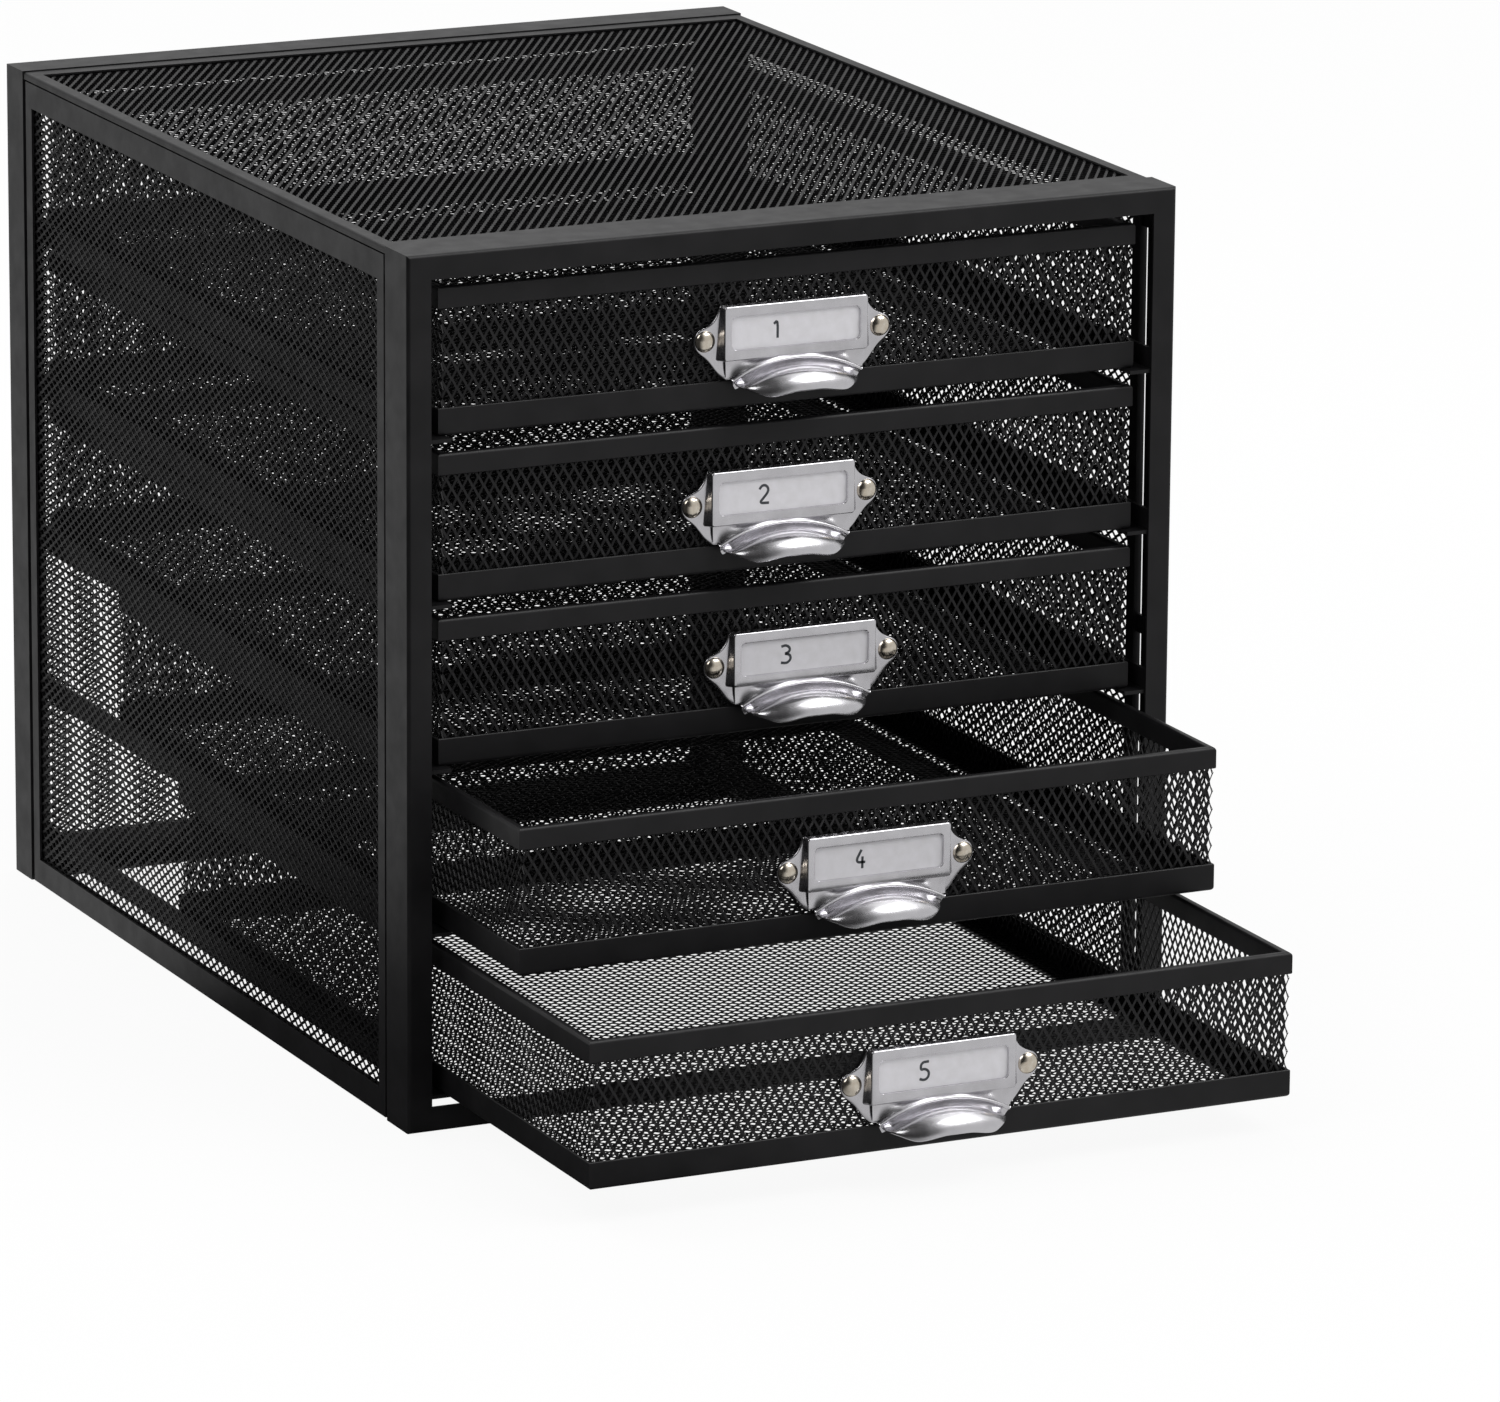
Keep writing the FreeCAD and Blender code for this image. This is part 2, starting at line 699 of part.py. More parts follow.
rim_foot = "drawer_height - rim_height"
rim_roof = "drawer_height - drawer_sheet"
rim = ring("rim", [
    ("0", "drawer_height"),
    ("0", rim_foot),
    ("drawer_sheet", rim_foot),
    ("drawer_sheet", rim_roof),
    ("drawer_sheet + drawer_slot", rim_roof),
    ("drawer_sheet + drawer_slot", rim_foot),
    ("rim_thick", rim_foot),
    ("rim_thick", "drawer_height"),
], "rim_thick", on_rim_top)
band = ring("band", [
    ("0", "0"),
    ("band_shelf", "0"),
    ("band_shelf", "drawer_sheet"),
    ("drawer_sheet", "drawer_sheet"),
    ("drawer_sheet", "band_height"),
    ("0", "band_height"),
], "band_shelf")


# Basket: a floor net and four wall nets, folded from one sheet
def basket():
    half = size("drawer_half")
    length = size("drawer_length")
    face = size("net_face")
    inside = size("net_inside")
    thick = size("drawer_mesh")
    foot = size("floor_top")
    top = size("net_top")
    clear_foot = size("band_height")
    clear_top = size("drawer_height") - size("rim_height")
    shelf = size("band_shelf")

    floor = net("basket_floor", (face - half, face), (half - face, length - face),
                (shelf - half, shelf), (half - shelf, length - shelf), FLOOR_COUNTS, thick)
    stand(floor, 0, 0, size("drawer_sheet"), (RIGHT, BACK, UP))
    front = net("basket_front", (inside - half, foot), (half - inside, top),
                (inside - half, clear_foot), (half - inside, clear_top), DRAWER_FRONT_COUNTS, thick)
    stand(front, 0, inside, 0, (RIGHT, UP, FRONT))
    left = net("basket_left", (face, foot), (length - face, top),
               (inside, clear_foot), (length - inside, clear_top), DRAWER_SIDE_COUNTS, thick)
    stand(left, face - half, 0, 0, (BACK, UP, RIGHT))
    rear = mirrored(front, "basket_rear", (0, 1, 0), ("y", "drawer_length / 2"))
    right = mirrored(left, "basket_right", (1, 0, 0))
    return [floor, front, rear, left, right]


basket_nets = basket()

# Pull: a riveted plate with a label holder above and a cup below, plate first
pull = new_body("pull_plate")
plate_sketch = new_sketch(pull, "XZ_Plane", "plate_outline")
outline(plate_sketch, [
    ("- label_half", "label_top"),
    ("label_half", "label_top"),
    ("label_half + ear_neck", "ear_top + ear_neck"),
    ("ear_reach", "ear_top"),
    ("ear_reach", "ear_bottom"),
    ("label_half + ear_neck", "ear_bottom - ear_neck"),
    ("label_half", "skirt_corner"),
    ("label_half - skirt_taper", "skirt_foot"),
    ("- label_half + skirt_taper", "skirt_foot"),
    ("- label_half", "skirt_corner"),
    ("- label_half - ear_neck", "ear_bottom - ear_neck"),
    ("- ear_reach", "ear_bottom"),
    ("- ear_reach", "ear_top"),
    ("- label_half - ear_neck", "ear_top + ear_neck"),
])
pad(pull, plate_sketch, "net_face", "plate_pad", back=True)


def on_ear_end(point):
    at_height = close_to(point.z, size("ear_top")) or close_to(point.z, size("ear_bottom"))
    return close_to(abs(point.x), size("ear_reach")) and at_height


def on_ear_neck(point):
    high = size("ear_top") + size("ear_neck")
    low = size("ear_bottom") - size("ear_neck")
    at_height = close_to(point.z, high) or close_to(point.z, low)
    return close_to(abs(point.x), size("label_half") + size("ear_neck")) and at_height


fillet(pull, "ear_ends", "ear_round", "y", on_ear_end)
fillet(pull, "ear_necks", "neck_round", "y", on_ear_neck)

holder_sketch = new_sketch(pull, "XZ_Plane", "holder_outline")
rectangle(holder_sketch, "- label_half", "label_base", "label_half", "label_top")
pad(pull, holder_sketch, "label_proud", "holder_pad")

# Window, slot for the card and rivet holes
window_sketch = new_sketch(pull, "XZ_Plane", "window_outline", offset="label_proud")
rectangle(window_sketch, "- label_half + label_side", "label_base + label_edge",
          "label_half - label_side", "label_top - label_edge")
pocket(pull, window_sketch, "window_cut", length="label_proud - card_back")


def on_window_corner(point):
    at_side = close_to(abs(point.x), size("label_half") - size("label_side"))
    low = size("label_base") + size("label_edge")
    high = size("label_top") - size("label_edge")
    return at_side and (close_to(point.z, low) or close_to(point.z, high))


fillet(pull, "window_corners", "window_round", "y", on_window_corner)
slot_sketch = new_sketch(pull, "XZ_Plane", "card_slot_outline", offset="card_back")
rectangle(slot_sketch, "- card_half", "card_foot", "card_half", "label_top + overrun")
pocket(pull, slot_sketch, "card_slot_cut", length="card_slot", back=True)


# Arch and cup below the label. Both are bodies of flat facets between similar outlines, so each
# facet is a flat trapezoid. Arch shares are (across, up) along the bow.
ARCH_SHARES = [(-1.0, 0.0), (-0.8, 0.37), (-0.55, 0.7), (-0.28, 0.92), (0.0, 1.0),
               (0.28, 0.92), (0.55, 0.7), (0.8, 0.37), (1.0, 0.0)]
# Places along the cup with the scale of the section there
CUP_STATION_SHARES = [(-1.0, 0.3), (-0.95, 0.52), (-0.85, 0.74), (-0.65, 0.91), (-0.35, 1.0),
                      (0.35, 1.0), (0.65, 0.91), (0.85, 0.74), (0.95, 0.52), (1.0, 0.3)]
# Section of the cup as (depth, height), and what closes it below, for the shell and its hollow
CUP_PROFILE_SHARES = [(0.0, 1.0), (0.29, 1.0), (0.55, 0.95), (0.78, 0.81), (0.92, 0.62), (0.985, 0.44), (1.0, 0.3)]
SHELL_FOOT_SHARES = [(0.0, 0.17)]
HOLLOW_FOOT_SHARES = [(1.0, -0.9), (0.0, -0.9)]


def facets(name, rings):
    """A solid whose skin runs from ring to ring, closed by the first and the last."""
    def flat(corners):
        return Part.Face(Part.makePolygon(corners + corners[:1]))

    skin = [flat(rings[0]), flat(rings[-1])]
    for near, far in zip(rings, rings[1:]):
        for index in range(len(near)):
            after = (index + 1) % len(near)
            skin.append(flat([near[index], near[after], far[after], far[index]]))
    item = doc.addObject("Part::Feature", name)
    item.Label = name
    shape = Part.Solid(Part.Shell(skin))
    if shape.Volume < 0:
        shape.reverse()
    item.Shape = shape
    return item


def arch_ring(depth, flare):
    low = size("arch_end")
    rise = size("arch_top") - low
    places = [(size("arch_half") * across, rise * up) for across, up in ARCH_SHARES]
    foot = size("arch_foot") - low
    places += [(size("arch_foot_half"), foot), (-size("arch_foot_half"), foot)]
    return [FreeCAD.Vector(x * flare, -depth, low + z * flare) for x, z in places]


def cup_rings(wall, foot_shares):
    level = size("cup_level")
    half = size("cup_half") - wall
    reach = size("cup_reach") - wall
    crown = size("cup_crown") - wall - level
    rings = []
    for across, scale in CUP_STATION_SHARES:
        rings.append([
            FreeCAD.Vector(half * across, -reach * depth * scale, level + crown * height * scale)
            for depth, height in CUP_PROFILE_SHARES + foot_shares
        ])
    return rings


arch = facets("arch", [arch_ring(0, size("arch_flare_share")), arch_ring(size("arch_proud"), 1)])
shell = facets("cup_shell", cup_rings(0, SHELL_FOOT_SHARES))
hollow = facets("cup_hollow", cup_rings(size("cup_wall"), HOLLOW_FOOT_SHARES))
pull_body = doc.addObject("Part::MultiFuse", "pull_body")
pull_body.Shapes = [pull, arch, shell]
pull_body.Refine = True
whole_pull = doc.addObject("Part::Cut", "whole_pull")
whole_pull.Base = pull_body
whole_pull.Tool = hollow
doc.recompute()

# Rivets: heads of few facets seated on the ears, their shanks hidden behind
RIVET_FACETS = 12
rivet_row = []
for side, expression in (("left", "- rivet_span / 2"), ("right", "rivet_span / 2")):
    rivet = doc.addObject("Part::Prism", "rivet_" + side)
    rivet.Polygon = RIVET_FACETS
    rivet.setExpression("Circumradius", in_sheet("rivet_head"))
    rivet.setExpression("Height", in_sheet("rivet_dome"))
    rivet.Placement.Rotation = FreeCAD.Rotation(UP, FRONT)
    rivet.setExpression("Placement.Base.x", in_sheet(expression))
    rivet.setExpression("Placement.Base.z", in_sheet("rivet_height"))
    rivet_row.append(rivet)

# Card in the label holder
card = doc.addObject("Part::Box", "label_card")
card.setExpression("Length", in_sheet("2 * ( card_half - card_play )"))
card.setExpression("Width", in_sheet("card_thick"))
card.setExpression("Height", in_sheet("label_top - card_foot - card_play"))
card.setExpression("Placement.Base.x", in_sheet("- card_half + card_play"))
card.setExpression("Placement.Base.y", in_sheet("- card_back - card_thick"))
card.setExpression("Placement.Base.z", in_sheet("card_foot"))

# The five drawers
for number in ROWS:
    prefix = "drawer_%d_" % number
    front = "cabinet_front + drawer_recess - open_%d" % number
    drift = "drift_%d" % number
    shift = "drift_%d + pull_shift_%d" % (number, number)
    lift = level(number) + " + pull_lift_%d" % number
    assembly_node(prefix + "basket", basket_nets, x=drift, y=front, z=level(number))
    assembly_node(prefix + "rim", rim, x=drift, y=front, z=level(number))
    assembly_node(prefix + "band", band, x=drift, y=front, z=level(number))
    assembly_node(prefix + "pull", [whole_pull], x=shift, y=front, z=lift)
    assembly_node(prefix + "rivets", rivet_row, x=shift, y=front, z=lift)
    assembly_node(prefix + "card", [card], x=shift, y=front, z=lift)

doc.recompute()

# Every object must have been built before anything is written
for item in doc.Objects:
    if "Invalid" in item.State or "Error" in item.State:
        raise RuntimeError(item.Label + " was not built: " + ", ".join(item.State))
for item in nodes:
    if item.Shape.isNull() or not item.Shape.isValid():
        raise RuntimeError(item.Label + " has no sound shape")

os.makedirs("parts", exist_ok=True)
for item in nodes:
    item.Shape.exportStep("parts/" + item.Label + ".step")
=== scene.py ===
import json
import math

import bmesh
import bpy
import numpy as np
from mathutils import Matrix, Vector

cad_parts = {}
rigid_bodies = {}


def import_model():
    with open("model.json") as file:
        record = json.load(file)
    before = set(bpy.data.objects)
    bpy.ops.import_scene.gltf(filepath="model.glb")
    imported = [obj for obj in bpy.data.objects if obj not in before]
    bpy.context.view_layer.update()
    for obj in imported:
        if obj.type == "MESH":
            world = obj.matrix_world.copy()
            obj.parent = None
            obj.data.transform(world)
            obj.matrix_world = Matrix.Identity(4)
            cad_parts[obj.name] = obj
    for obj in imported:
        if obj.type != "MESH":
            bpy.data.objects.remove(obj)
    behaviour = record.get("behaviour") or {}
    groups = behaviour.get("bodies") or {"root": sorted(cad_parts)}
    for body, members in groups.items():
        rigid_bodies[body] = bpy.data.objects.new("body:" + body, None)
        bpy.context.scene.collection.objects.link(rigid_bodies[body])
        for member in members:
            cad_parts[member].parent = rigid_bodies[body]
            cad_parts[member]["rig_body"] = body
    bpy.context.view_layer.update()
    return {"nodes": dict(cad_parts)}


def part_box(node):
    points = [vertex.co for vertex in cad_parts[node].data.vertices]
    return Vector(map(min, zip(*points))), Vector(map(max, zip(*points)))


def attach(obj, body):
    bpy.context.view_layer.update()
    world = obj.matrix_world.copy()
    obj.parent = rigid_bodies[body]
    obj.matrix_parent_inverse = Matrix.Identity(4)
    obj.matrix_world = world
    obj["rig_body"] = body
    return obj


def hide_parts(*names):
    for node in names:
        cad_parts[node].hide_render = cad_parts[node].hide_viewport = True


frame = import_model()
MM = 0.001
DRAWERS = range(1, 6)

# Camera. Its offset from the cabinet's front left foot is in cabinet heights, in its own directions.
FRAME_WIDTH = 1500
FOCAL_PX = 9846.998
YAW = math.radians(25.46193)
PITCH = math.radians(14.62985)
ROLL = math.radians(-0.41890)
CABINET_HEIGHT = 0.280
CAMERA_OFFSET = Vector((-0.3802265, 0.4838024, 10.9727449))
front_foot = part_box("front_left_post")[0]

ahead = Vector((math.sin(YAW) * math.cos(PITCH), math.cos(YAW) * math.cos(PITCH), -math.sin(PITCH)))
right = Vector((math.cos(YAW), -math.sin(YAW), 0))
down = ahead.cross(right)
turn = Matrix((
    right * math.cos(ROLL) + down * math.sin(ROLL),
    -right * math.sin(ROLL) + down * math.cos(ROLL),
    ahead,
))
camera_place = front_foot - turn.transposed() @ CAMERA_OFFSET * CABINET_HEIGHT
lens = bpy.data.cameras.new("camera")
lens.sensor_width = 36
lens.sensor_fit = "HORIZONTAL"
lens.lens = lens.sensor_width * FOCAL_PX / FRAME_WIDTH
lens.clip_start = 0.05
lens.clip_end = 60
camera = bpy.data.objects.new("camera", lens)
axes = Matrix((turn[0], -turn[1], -turn[2])).transposed()
camera.matrix_world = Matrix.Translation(camera_place) @ axes.to_4x4()
bpy.context.scene.collection.objects.link(camera)
bpy.context.scene.camera = camera

# Materials. Most values of a noise lie inside this span.
NOISE_SPAN = (0.3, 0.7)


def new_material(name):
    material = bpy.data.materials.new(name)
    material.use_nodes = True
    nodes = material.node_tree.nodes
    return material, nodes, material.node_tree.links, nodes["Principled BSDF"]


def noise(nodes, links, scale, detail, stretch=None):
    """A noise texture on the object's own coordinates, stretched along its axes if asked."""
    place = nodes.new("ShaderNodeTexCoord").outputs["Object"]
    if stretch:
        mapping = nodes.new("ShaderNodeMapping")
        mapping.inputs["Scale"].default_value = stretch
        links.new(place, mapping.inputs["Vector"])
        place = mapping.outputs["Vector"]
    texture = nodes.new("ShaderNodeTexNoise")
    texture.inputs["Scale"].default_value = scale
    texture.inputs["Detail"].default_value = detail
    links.new(place, texture.inputs["Vector"])
    return texture.outputs["Fac"]


def map_range(nodes, links, value, span, result, smooth=False):
    """Takes a value from one span to another, along an S curve if smooth."""
    node = nodes.new("ShaderNodeMapRange")
    if smooth:
        node.interpolation_type = "SMOOTHSTEP"
    for socket, end in zip(("From Min", "From Max", "To Min", "To Max"), (*span, *result)):
        node.inputs[socket].default_value = end
    links.new(value, node.inputs["Value"])
    return node.outputs["Result"]


def ramp(nodes, links, value, span, tones):
    """A colour that goes from the first tone to the second as the value crosses the span."""
    node = nodes.new("ShaderNodeValToRGB")
    for element, position, tone in zip(node.color_ramp.elements, span, tones):
        element.position = position
        element.color = (*tone, 1)
    links.new(value, node.inputs["Fac"])
    return node.outputs["Color"]


def bump(nodes, links, shader, value, strength, depth):
    node = nodes.new("ShaderNodeBump")
    node.inputs["Strength"].default_value = strength
    node.inputs["Distance"].default_value = depth
    links.new(value, node.inputs["Height"])
    links.new(node.outputs["Normal"], shader.inputs["Normal"])


def surface(name, tones, tone_noise, roughness, rough_noise, tone_span=NOISE_SPAN):
    """A material whose colour and roughness vary with noise. A noise is its scale and detail."""
    material, nodes, links, shader = new_material(name)
    tone = noise(nodes, links, *tone_noise)
    links.new(ramp(nodes, links, tone, tone_span, tones), shader.inputs["Base Color"])
    gloss = noise(nodes, links, *rough_noise)
    links.new(map_range(nodes, links, gloss, NOISE_SPAN, roughness), shader.inputs["Roughness"])
    return material, nodes, links, shader


def coat_material(name, roughness):
    """Black powder coat: nearly even colour, satin gloss and a fine orange peel."""
    tones = ((0.0062, 0.0060, 0.0066), (0.0098, 0.0094, 0.0102))
    material, nodes, links, shader = surface(name, tones, (60, 3), roughness, (140, 3), (0.35, 0.65))
    shader.inputs["IOR"].default_value = 1.32
    bump(nodes, links, shader, noise(nodes, links, 1400, 2), 0.25, 0.05 * MM)
    return material


def nickel_material():
    """Nickel with a faint brushing across."""
    tones = ((0.60, 0.59, 0.61), (0.74, 0.73, 0.76))
    material, nodes, links, shader = surface("nickel", tones, (90, 4), (0.17, 0.27), (260, 3))
    shader.inputs["Metallic"].default_value = 1.0
    bump(nodes, links, shader, noise(nodes, links, 500, 2, (0.2, 1, 1)), 0.05, 0.02 * MM)
    return material


def rivet_material():
    """Warmer and shinier nickel."""
    tones = ((0.66, 0.58, 0.47), (0.80, 0.74, 0.64))
    material, nodes, links, shader = surface("rivet_metal", tones, (500, 3), (0.12, 0.25), (900, 2))
    shader.inputs["Metallic"].default_value = 1.0
    return material


def card_material():
    """Pale card with a fine fibre."""
    tones = ((0.60, 0.59, 0.61), (0.66, 0.65, 0.68))
    material, nodes, links, shader = surface("card_paper", tones, (300, 4), (0.6, 0.75), (800, 2))
    bump(nodes, links, shader, noise(nodes, links, 2600, 3), 0.15, 0.03 * MM)
    return material


def ink_material():
    """A marker's ink, darker and lighter in places."""
    tones = ((0.015, 0.018, 0.022), (0.06, 0.065, 0.075))
    return surface("ink", tones, (1500, 3), (0.45, 0.6), (1200, 2), (0.3, 0.75))[0]


coat = coat_material("coat", (0.36, 0.46))
mesh_coat = coat_material("mesh_coat", (0.40, 0.52))
nickel = nickel_material()
rivet_metal = rivet_material()
card_paper = card_material()
ink = ink_material()


# Pieces and meshes. A skin is its points and its faces.
def piece_from(name, data, body, replaces=(), location=(0, 0, 0)):
    """An object of that mesh data that rides on a body and stands for CAD nodes."""
    piece = bpy.data.objects.new(name, data)
    piece.location = location
    bpy.context.scene.collection.objects.link(piece)
    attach(piece, body)
    if replaces:
        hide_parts(*replaces)
    return piece


def mesh_data(name, skin, material):
    points, faces = skin
    data = bpy.data.meshes.new(name)
    data.from_pydata([tuple(point) for point in points], [], [tuple(face) for face in faces])
    data.materials.append(material)
    data.validate()
    data.update()
    return data


def smooth_by_angle(data, degrees):
    """Smooth shading with sharp edges where two faces meet at more than the angle."""
    data.shade_smooth()
    solid = bmesh.new()
    solid.from_mesh(data)
    bmesh.ops.recalc_face_normals(solid, faces=solid.faces)
    limit = math.radians(degrees)
    for edge in solid.edges:
        if len(edge.link_faces) == 2:
            edge.smooth = edge.calc_face_angle(0) < limit
    solid.to_mesh(data)
    solid.free()


def gathered(skins):
    """Several skins as one."""
    all_points = []
    all_faces = []
    for points, faces in skins:
        start = len(all_points)
        all_points += [tuple(point) for point in points]
        all_faces += [tuple(index + start for index in face) for face in faces]
    return all_points, all_faces


def joined(name, skins, material, degrees):
    """One smooth mesh of several skins that are in millimetres."""
    points, faces = gathered(skins)
    data = mesh_data(name, ([(x * MM, y * MM, z * MM) for x, y, z in points], faces), material)
    smooth_by_angle(data, degrees)
    return data


def loft(loops, closed=True):
    """A skin over loops that all have the same count of points."""
    count = len(loops[0])
    points = [point for loop in loops for point in loop]
    faces = []
    for ring in range(len(loops) - 1):
        for index in range(count if closed else count - 1):
            after = (index + 1) % count
            faces.append((ring * count + index, ring * count + after,
                          (ring + 1) * count + after, (ring + 1) * count + index))
    return points, faces


def arc_points(centre, radius, start, end, steps):
    """Points of a circle's arc, angles in degrees."""
    places = []
    for step in range(steps + 1):
        angle = math.radians(start + (end - start) * step / steps)
        places.append((centre[0] + radius * math.cos(angle), centre[1] + radius * math.sin(angle)))
    return places


def rounded(half, low, high, radius, steps=5):
    """A rectangle with rounded corners, anticlockwise from its lower right corner."""
    outline = arc_points((half - radius, low + radius), radius, -90, 0, steps)
    outline += arc_points((half - radius, high - radius), radius, 0, 90, steps)
    outline += arc_points((-half + radius, high - radius), radius, 90, 180, steps)
    outline += arc_points((-half + radius, low + radius), radius, 180, 270, steps)
    return outline


def between(first, second, share):
    return first + (second - first) * share


def smoothed(places, rounds=2):
    """An open line with its corners cut again and again."""
    for turn_count in range(rounds):
        finer = [places[0]]
        for here, after in zip(places, places[1:]):
            finer.append(tuple(a * 0.75 + b * 0.25 for a, b in zip(here, after)))
            finer.append(tuple(a * 0.25 + b * 0.75 for a, b in zip(here, after)))
        finer.append(places[-1])
        places = finer
    return places


def smoothstep(value, low, high):
    share = min(max((value - low) / (high - low), 0), 1)
    return share * share * (3 - 2 * share)


def sideways(along):
    """The unit direction to the left of a direction in the plane."""
    size = math.hypot(*along) or 1
    return -along[1] / size, along[0] / size


# Expanded metal: rows of staggered diamonds between slanted strands. A net is its pitch and its
# opening, each the long way and the short way of a diamond.
PANEL_NET = ((5.25 * MM, 3.3 * MM), (4.05 * MM, 2.15 * MM))
DRAWER_NET = ((5.95 * MM, 3.6 * MM), (4.7 * MM, 2.35 * MM))
STRAND_TILT = 0.22 * MM
STRAND_THICK = 0.42 * MM


def expanded(low, high, net, long_first):
    """A skin of points (u, v, n) that covers low to high. The strands slope across the short way.
    long_first says that the long way runs along u."""
    (long_pitch, short_pitch), (long_opening, short_opening) = net
    half_long = long_opening / 2
    half_short = short_opening / 2
    span = (high[0] - low[0], high[1] - low[1])
    long_span, short_span = span if long_first else span[::-1]
    columns = math.ceil(long_span / long_pitch * 2) + 1
    rows = math.ceil(short_span / short_pitch * 2) + 1
    holes = {}
    centres = []
    for row in range(rows):
        for column in range(columns):
            if (row + column) % 2 == 0:
                holes[(column, row)] = len(centres)
                centres.append((column * long_pitch / 2, row * short_pitch / 2))
    centres = np.array(centres)
    centres[:, 0] += (long_span - (columns - 1) * long_pitch / 2) / 2
    centres[:, 1] += (short_span - (rows - 1) * short_pitch / 2) / 2
    tips = np.array([
        (half_long, 0, 0), (0, half_short, STRAND_TILT),
        (-half_long, 0, 0), (0, -half_short, -STRAND_TILT),
    ])
    points = np.zeros((len(centres), 2, 4, 3))
    points[:, :, :, :2] = centres[:, None, None, :] + tips[None, None, :, :2]
    points[:, :, :, 2] = tips[None, None, :, 2]
    points[:, 0, :, 2] += STRAND_THICK / 2
    points[:, 1, :, 2] -= STRAND_THICK / 2

    def vertex(hole, side, tip):
        """A hole has eight points: the four tips of its diamond on each of the two sides."""
        return hole * 8 + side * 4 + tip

    faces = []
    for (column, row), hole in holes.items():
        for tip in range(4):
            after = (tip + 1) % 4
            faces.append((vertex(hole, 0, tip), vertex(hole, 0, after),
                          vertex(hole, 1, after), vertex(hole, 1, tip)))
        upper_right = holes.get((column + 1, row + 1))
        upper_left = holes.get((column - 1, row + 1))
        far_right = holes.get((column + 2, row))
        lower_right = holes.get((column + 1, row - 1))
        for side in (0, 1):
            loops = []
            if upper_right is not None:
                loops.append([
                    vertex(hole, side, 0), vertex(upper_right, side, 3),
                    vertex(upper_right, side, 2), vertex(hole, side, 1)])
            if upper_left is not None:
                loops.append([
                    vertex(hole, side, 1), vertex(upper_left, side, 0),
                    vertex(upper_left, side, 3), vertex(hole, side, 2)])
            if None not in (far_right, upper_right, lower_right):
                loops.append([
                    vertex(hole, side, 0), vertex(lower_right, side, 1),
                    vertex(far_right, side, 2), vertex(upper_right, side, 3)])
            for loop in loops:
                faces.append(loop if side == 0 else loop[::-1])
    points = points.reshape(-1, 3)
    if not long_first:
        points[:, [0, 1]] = points[:, [1, 0]]
        faces = [tuple(face[::-1]) for face in faces]
    margin = min(long_pitch, short_pitch)
    points[:, 0] = np.clip(points[:, 0], -margin, span[0] + margin) + low[0]
    points[:, 1] = np.clip(points[:, 1], -margin, span[1] + margin) + low[1]
    return points, faces


# Nets of the cabinet's four panels. Each reaches under its edging.
PANEL_TUCK = 2.0 * MM


def panel_net(side, u, v, n, long_first):
    """The net of one panel, in the plane of the axes u and v, in the middle of its node along n."""
    node = side + "_panel_mesh"
    low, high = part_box(node)
    span_low = (low[u] + PANEL_TUCK, low[v] + PANEL_TUCK)
    span_high = (high[u] - PANEL_TUCK, high[v] - PANEL_TUCK)
    points, faces = expanded(span_low, span_high, PANEL_NET, long_first)
    placed = np.zeros_like(points)
    placed[:, u] = points[:, 0]
    placed[:, v] = points[:, 1]
    placed[:, n] = points[:, 2] + (low[n] + high[n]) / 2
    data = mesh_data(side + "_lattice", (placed, faces), mesh_coat)
    piece_from(node + "_fine", data, "cabinet", (node,))


X, Y, Z = range(3)
panel_net("left", Y, Z, X, True)
panel_net("right", Y, Z, X, True)
panel_net("top", X, Y, Z, False)
panel_net("rear", X, Z, Y, True)

# Drawers. All five share their meshes, which are made about the middle of the front foot.
rim_low, rim_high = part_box("drawer_1_rim")
HALF = (rim_high.x - rim_low.x) / 2
LENGTH = rim_high.y - rim_low.y
HEIGHT = rim_high.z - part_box("drawer_1_band")[0].z
drawer_place = {}
for number in DRAWERS:
    low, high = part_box("drawer_%d_band" % number)
    drawer_place[number] = Vector(((low.x + high.x) / 2, low.y, low.z))

# Nets of the drawers: how far their edges stay from the drawer's outside, and their planes
WALL_END = 2 * MM
WALL_EDGE = 3.0 * MM
WALL_MIDDLE = 1.5 * MM
FLOOR_EDGE = 5 * MM
FLOOR_MIDDLE = 1.45 * MM


def stand_up(skin, origin, across, up, out):
    """A net turned from (u, v, n) into the part's own directions."""
    points, faces = skin
    return points @ np.array((across, up, out), float) + np.array(origin, float), faces


def basket_data():
    """One net for each wall and the floor."""
    wall_top = HEIGHT - WALL_EDGE
    front = expanded((-HALF + WALL_END, WALL_EDGE), (HALF - WALL_END, wall_top), DRAWER_NET, False)
    side = expanded((WALL_END, WALL_EDGE), (LENGTH - WALL_END, wall_top), DRAWER_NET, False)
    floor = expanded((-HALF + FLOOR_EDGE, FLOOR_EDGE), (HALF - FLOOR_EDGE, LENGTH - FLOOR_EDGE),
                     PANEL_NET, True)
    skins = [
        stand_up(front, (0, WALL_MIDDLE, 0), (1, 0, 0), (0, 0, 1), (0, -1, 0)),
        stand_up(front, (0, LENGTH - WALL_MIDDLE, 0), (1, 0, 0), (0, 0, 1), (0, -1, 0)),
        stand_up(side, (-HALF + WALL_MIDDLE, 0, 0), (0, 1, 0), (0, 0, 1), (-1, 0, 0)),
        stand_up(side, (HALF - WALL_MIDDLE, 0, 0), (0, 1, 0), (0, 0, 1), (-1, 0, 0)),
        stand_up(floor, (0, 0, FLOOR_MIDDLE), (1, 0, 0), (0, 1, 0), (0, 0, 1)),
    ]
    return mesh_data("basket_lattice", gathered(skins), mesh_coat)


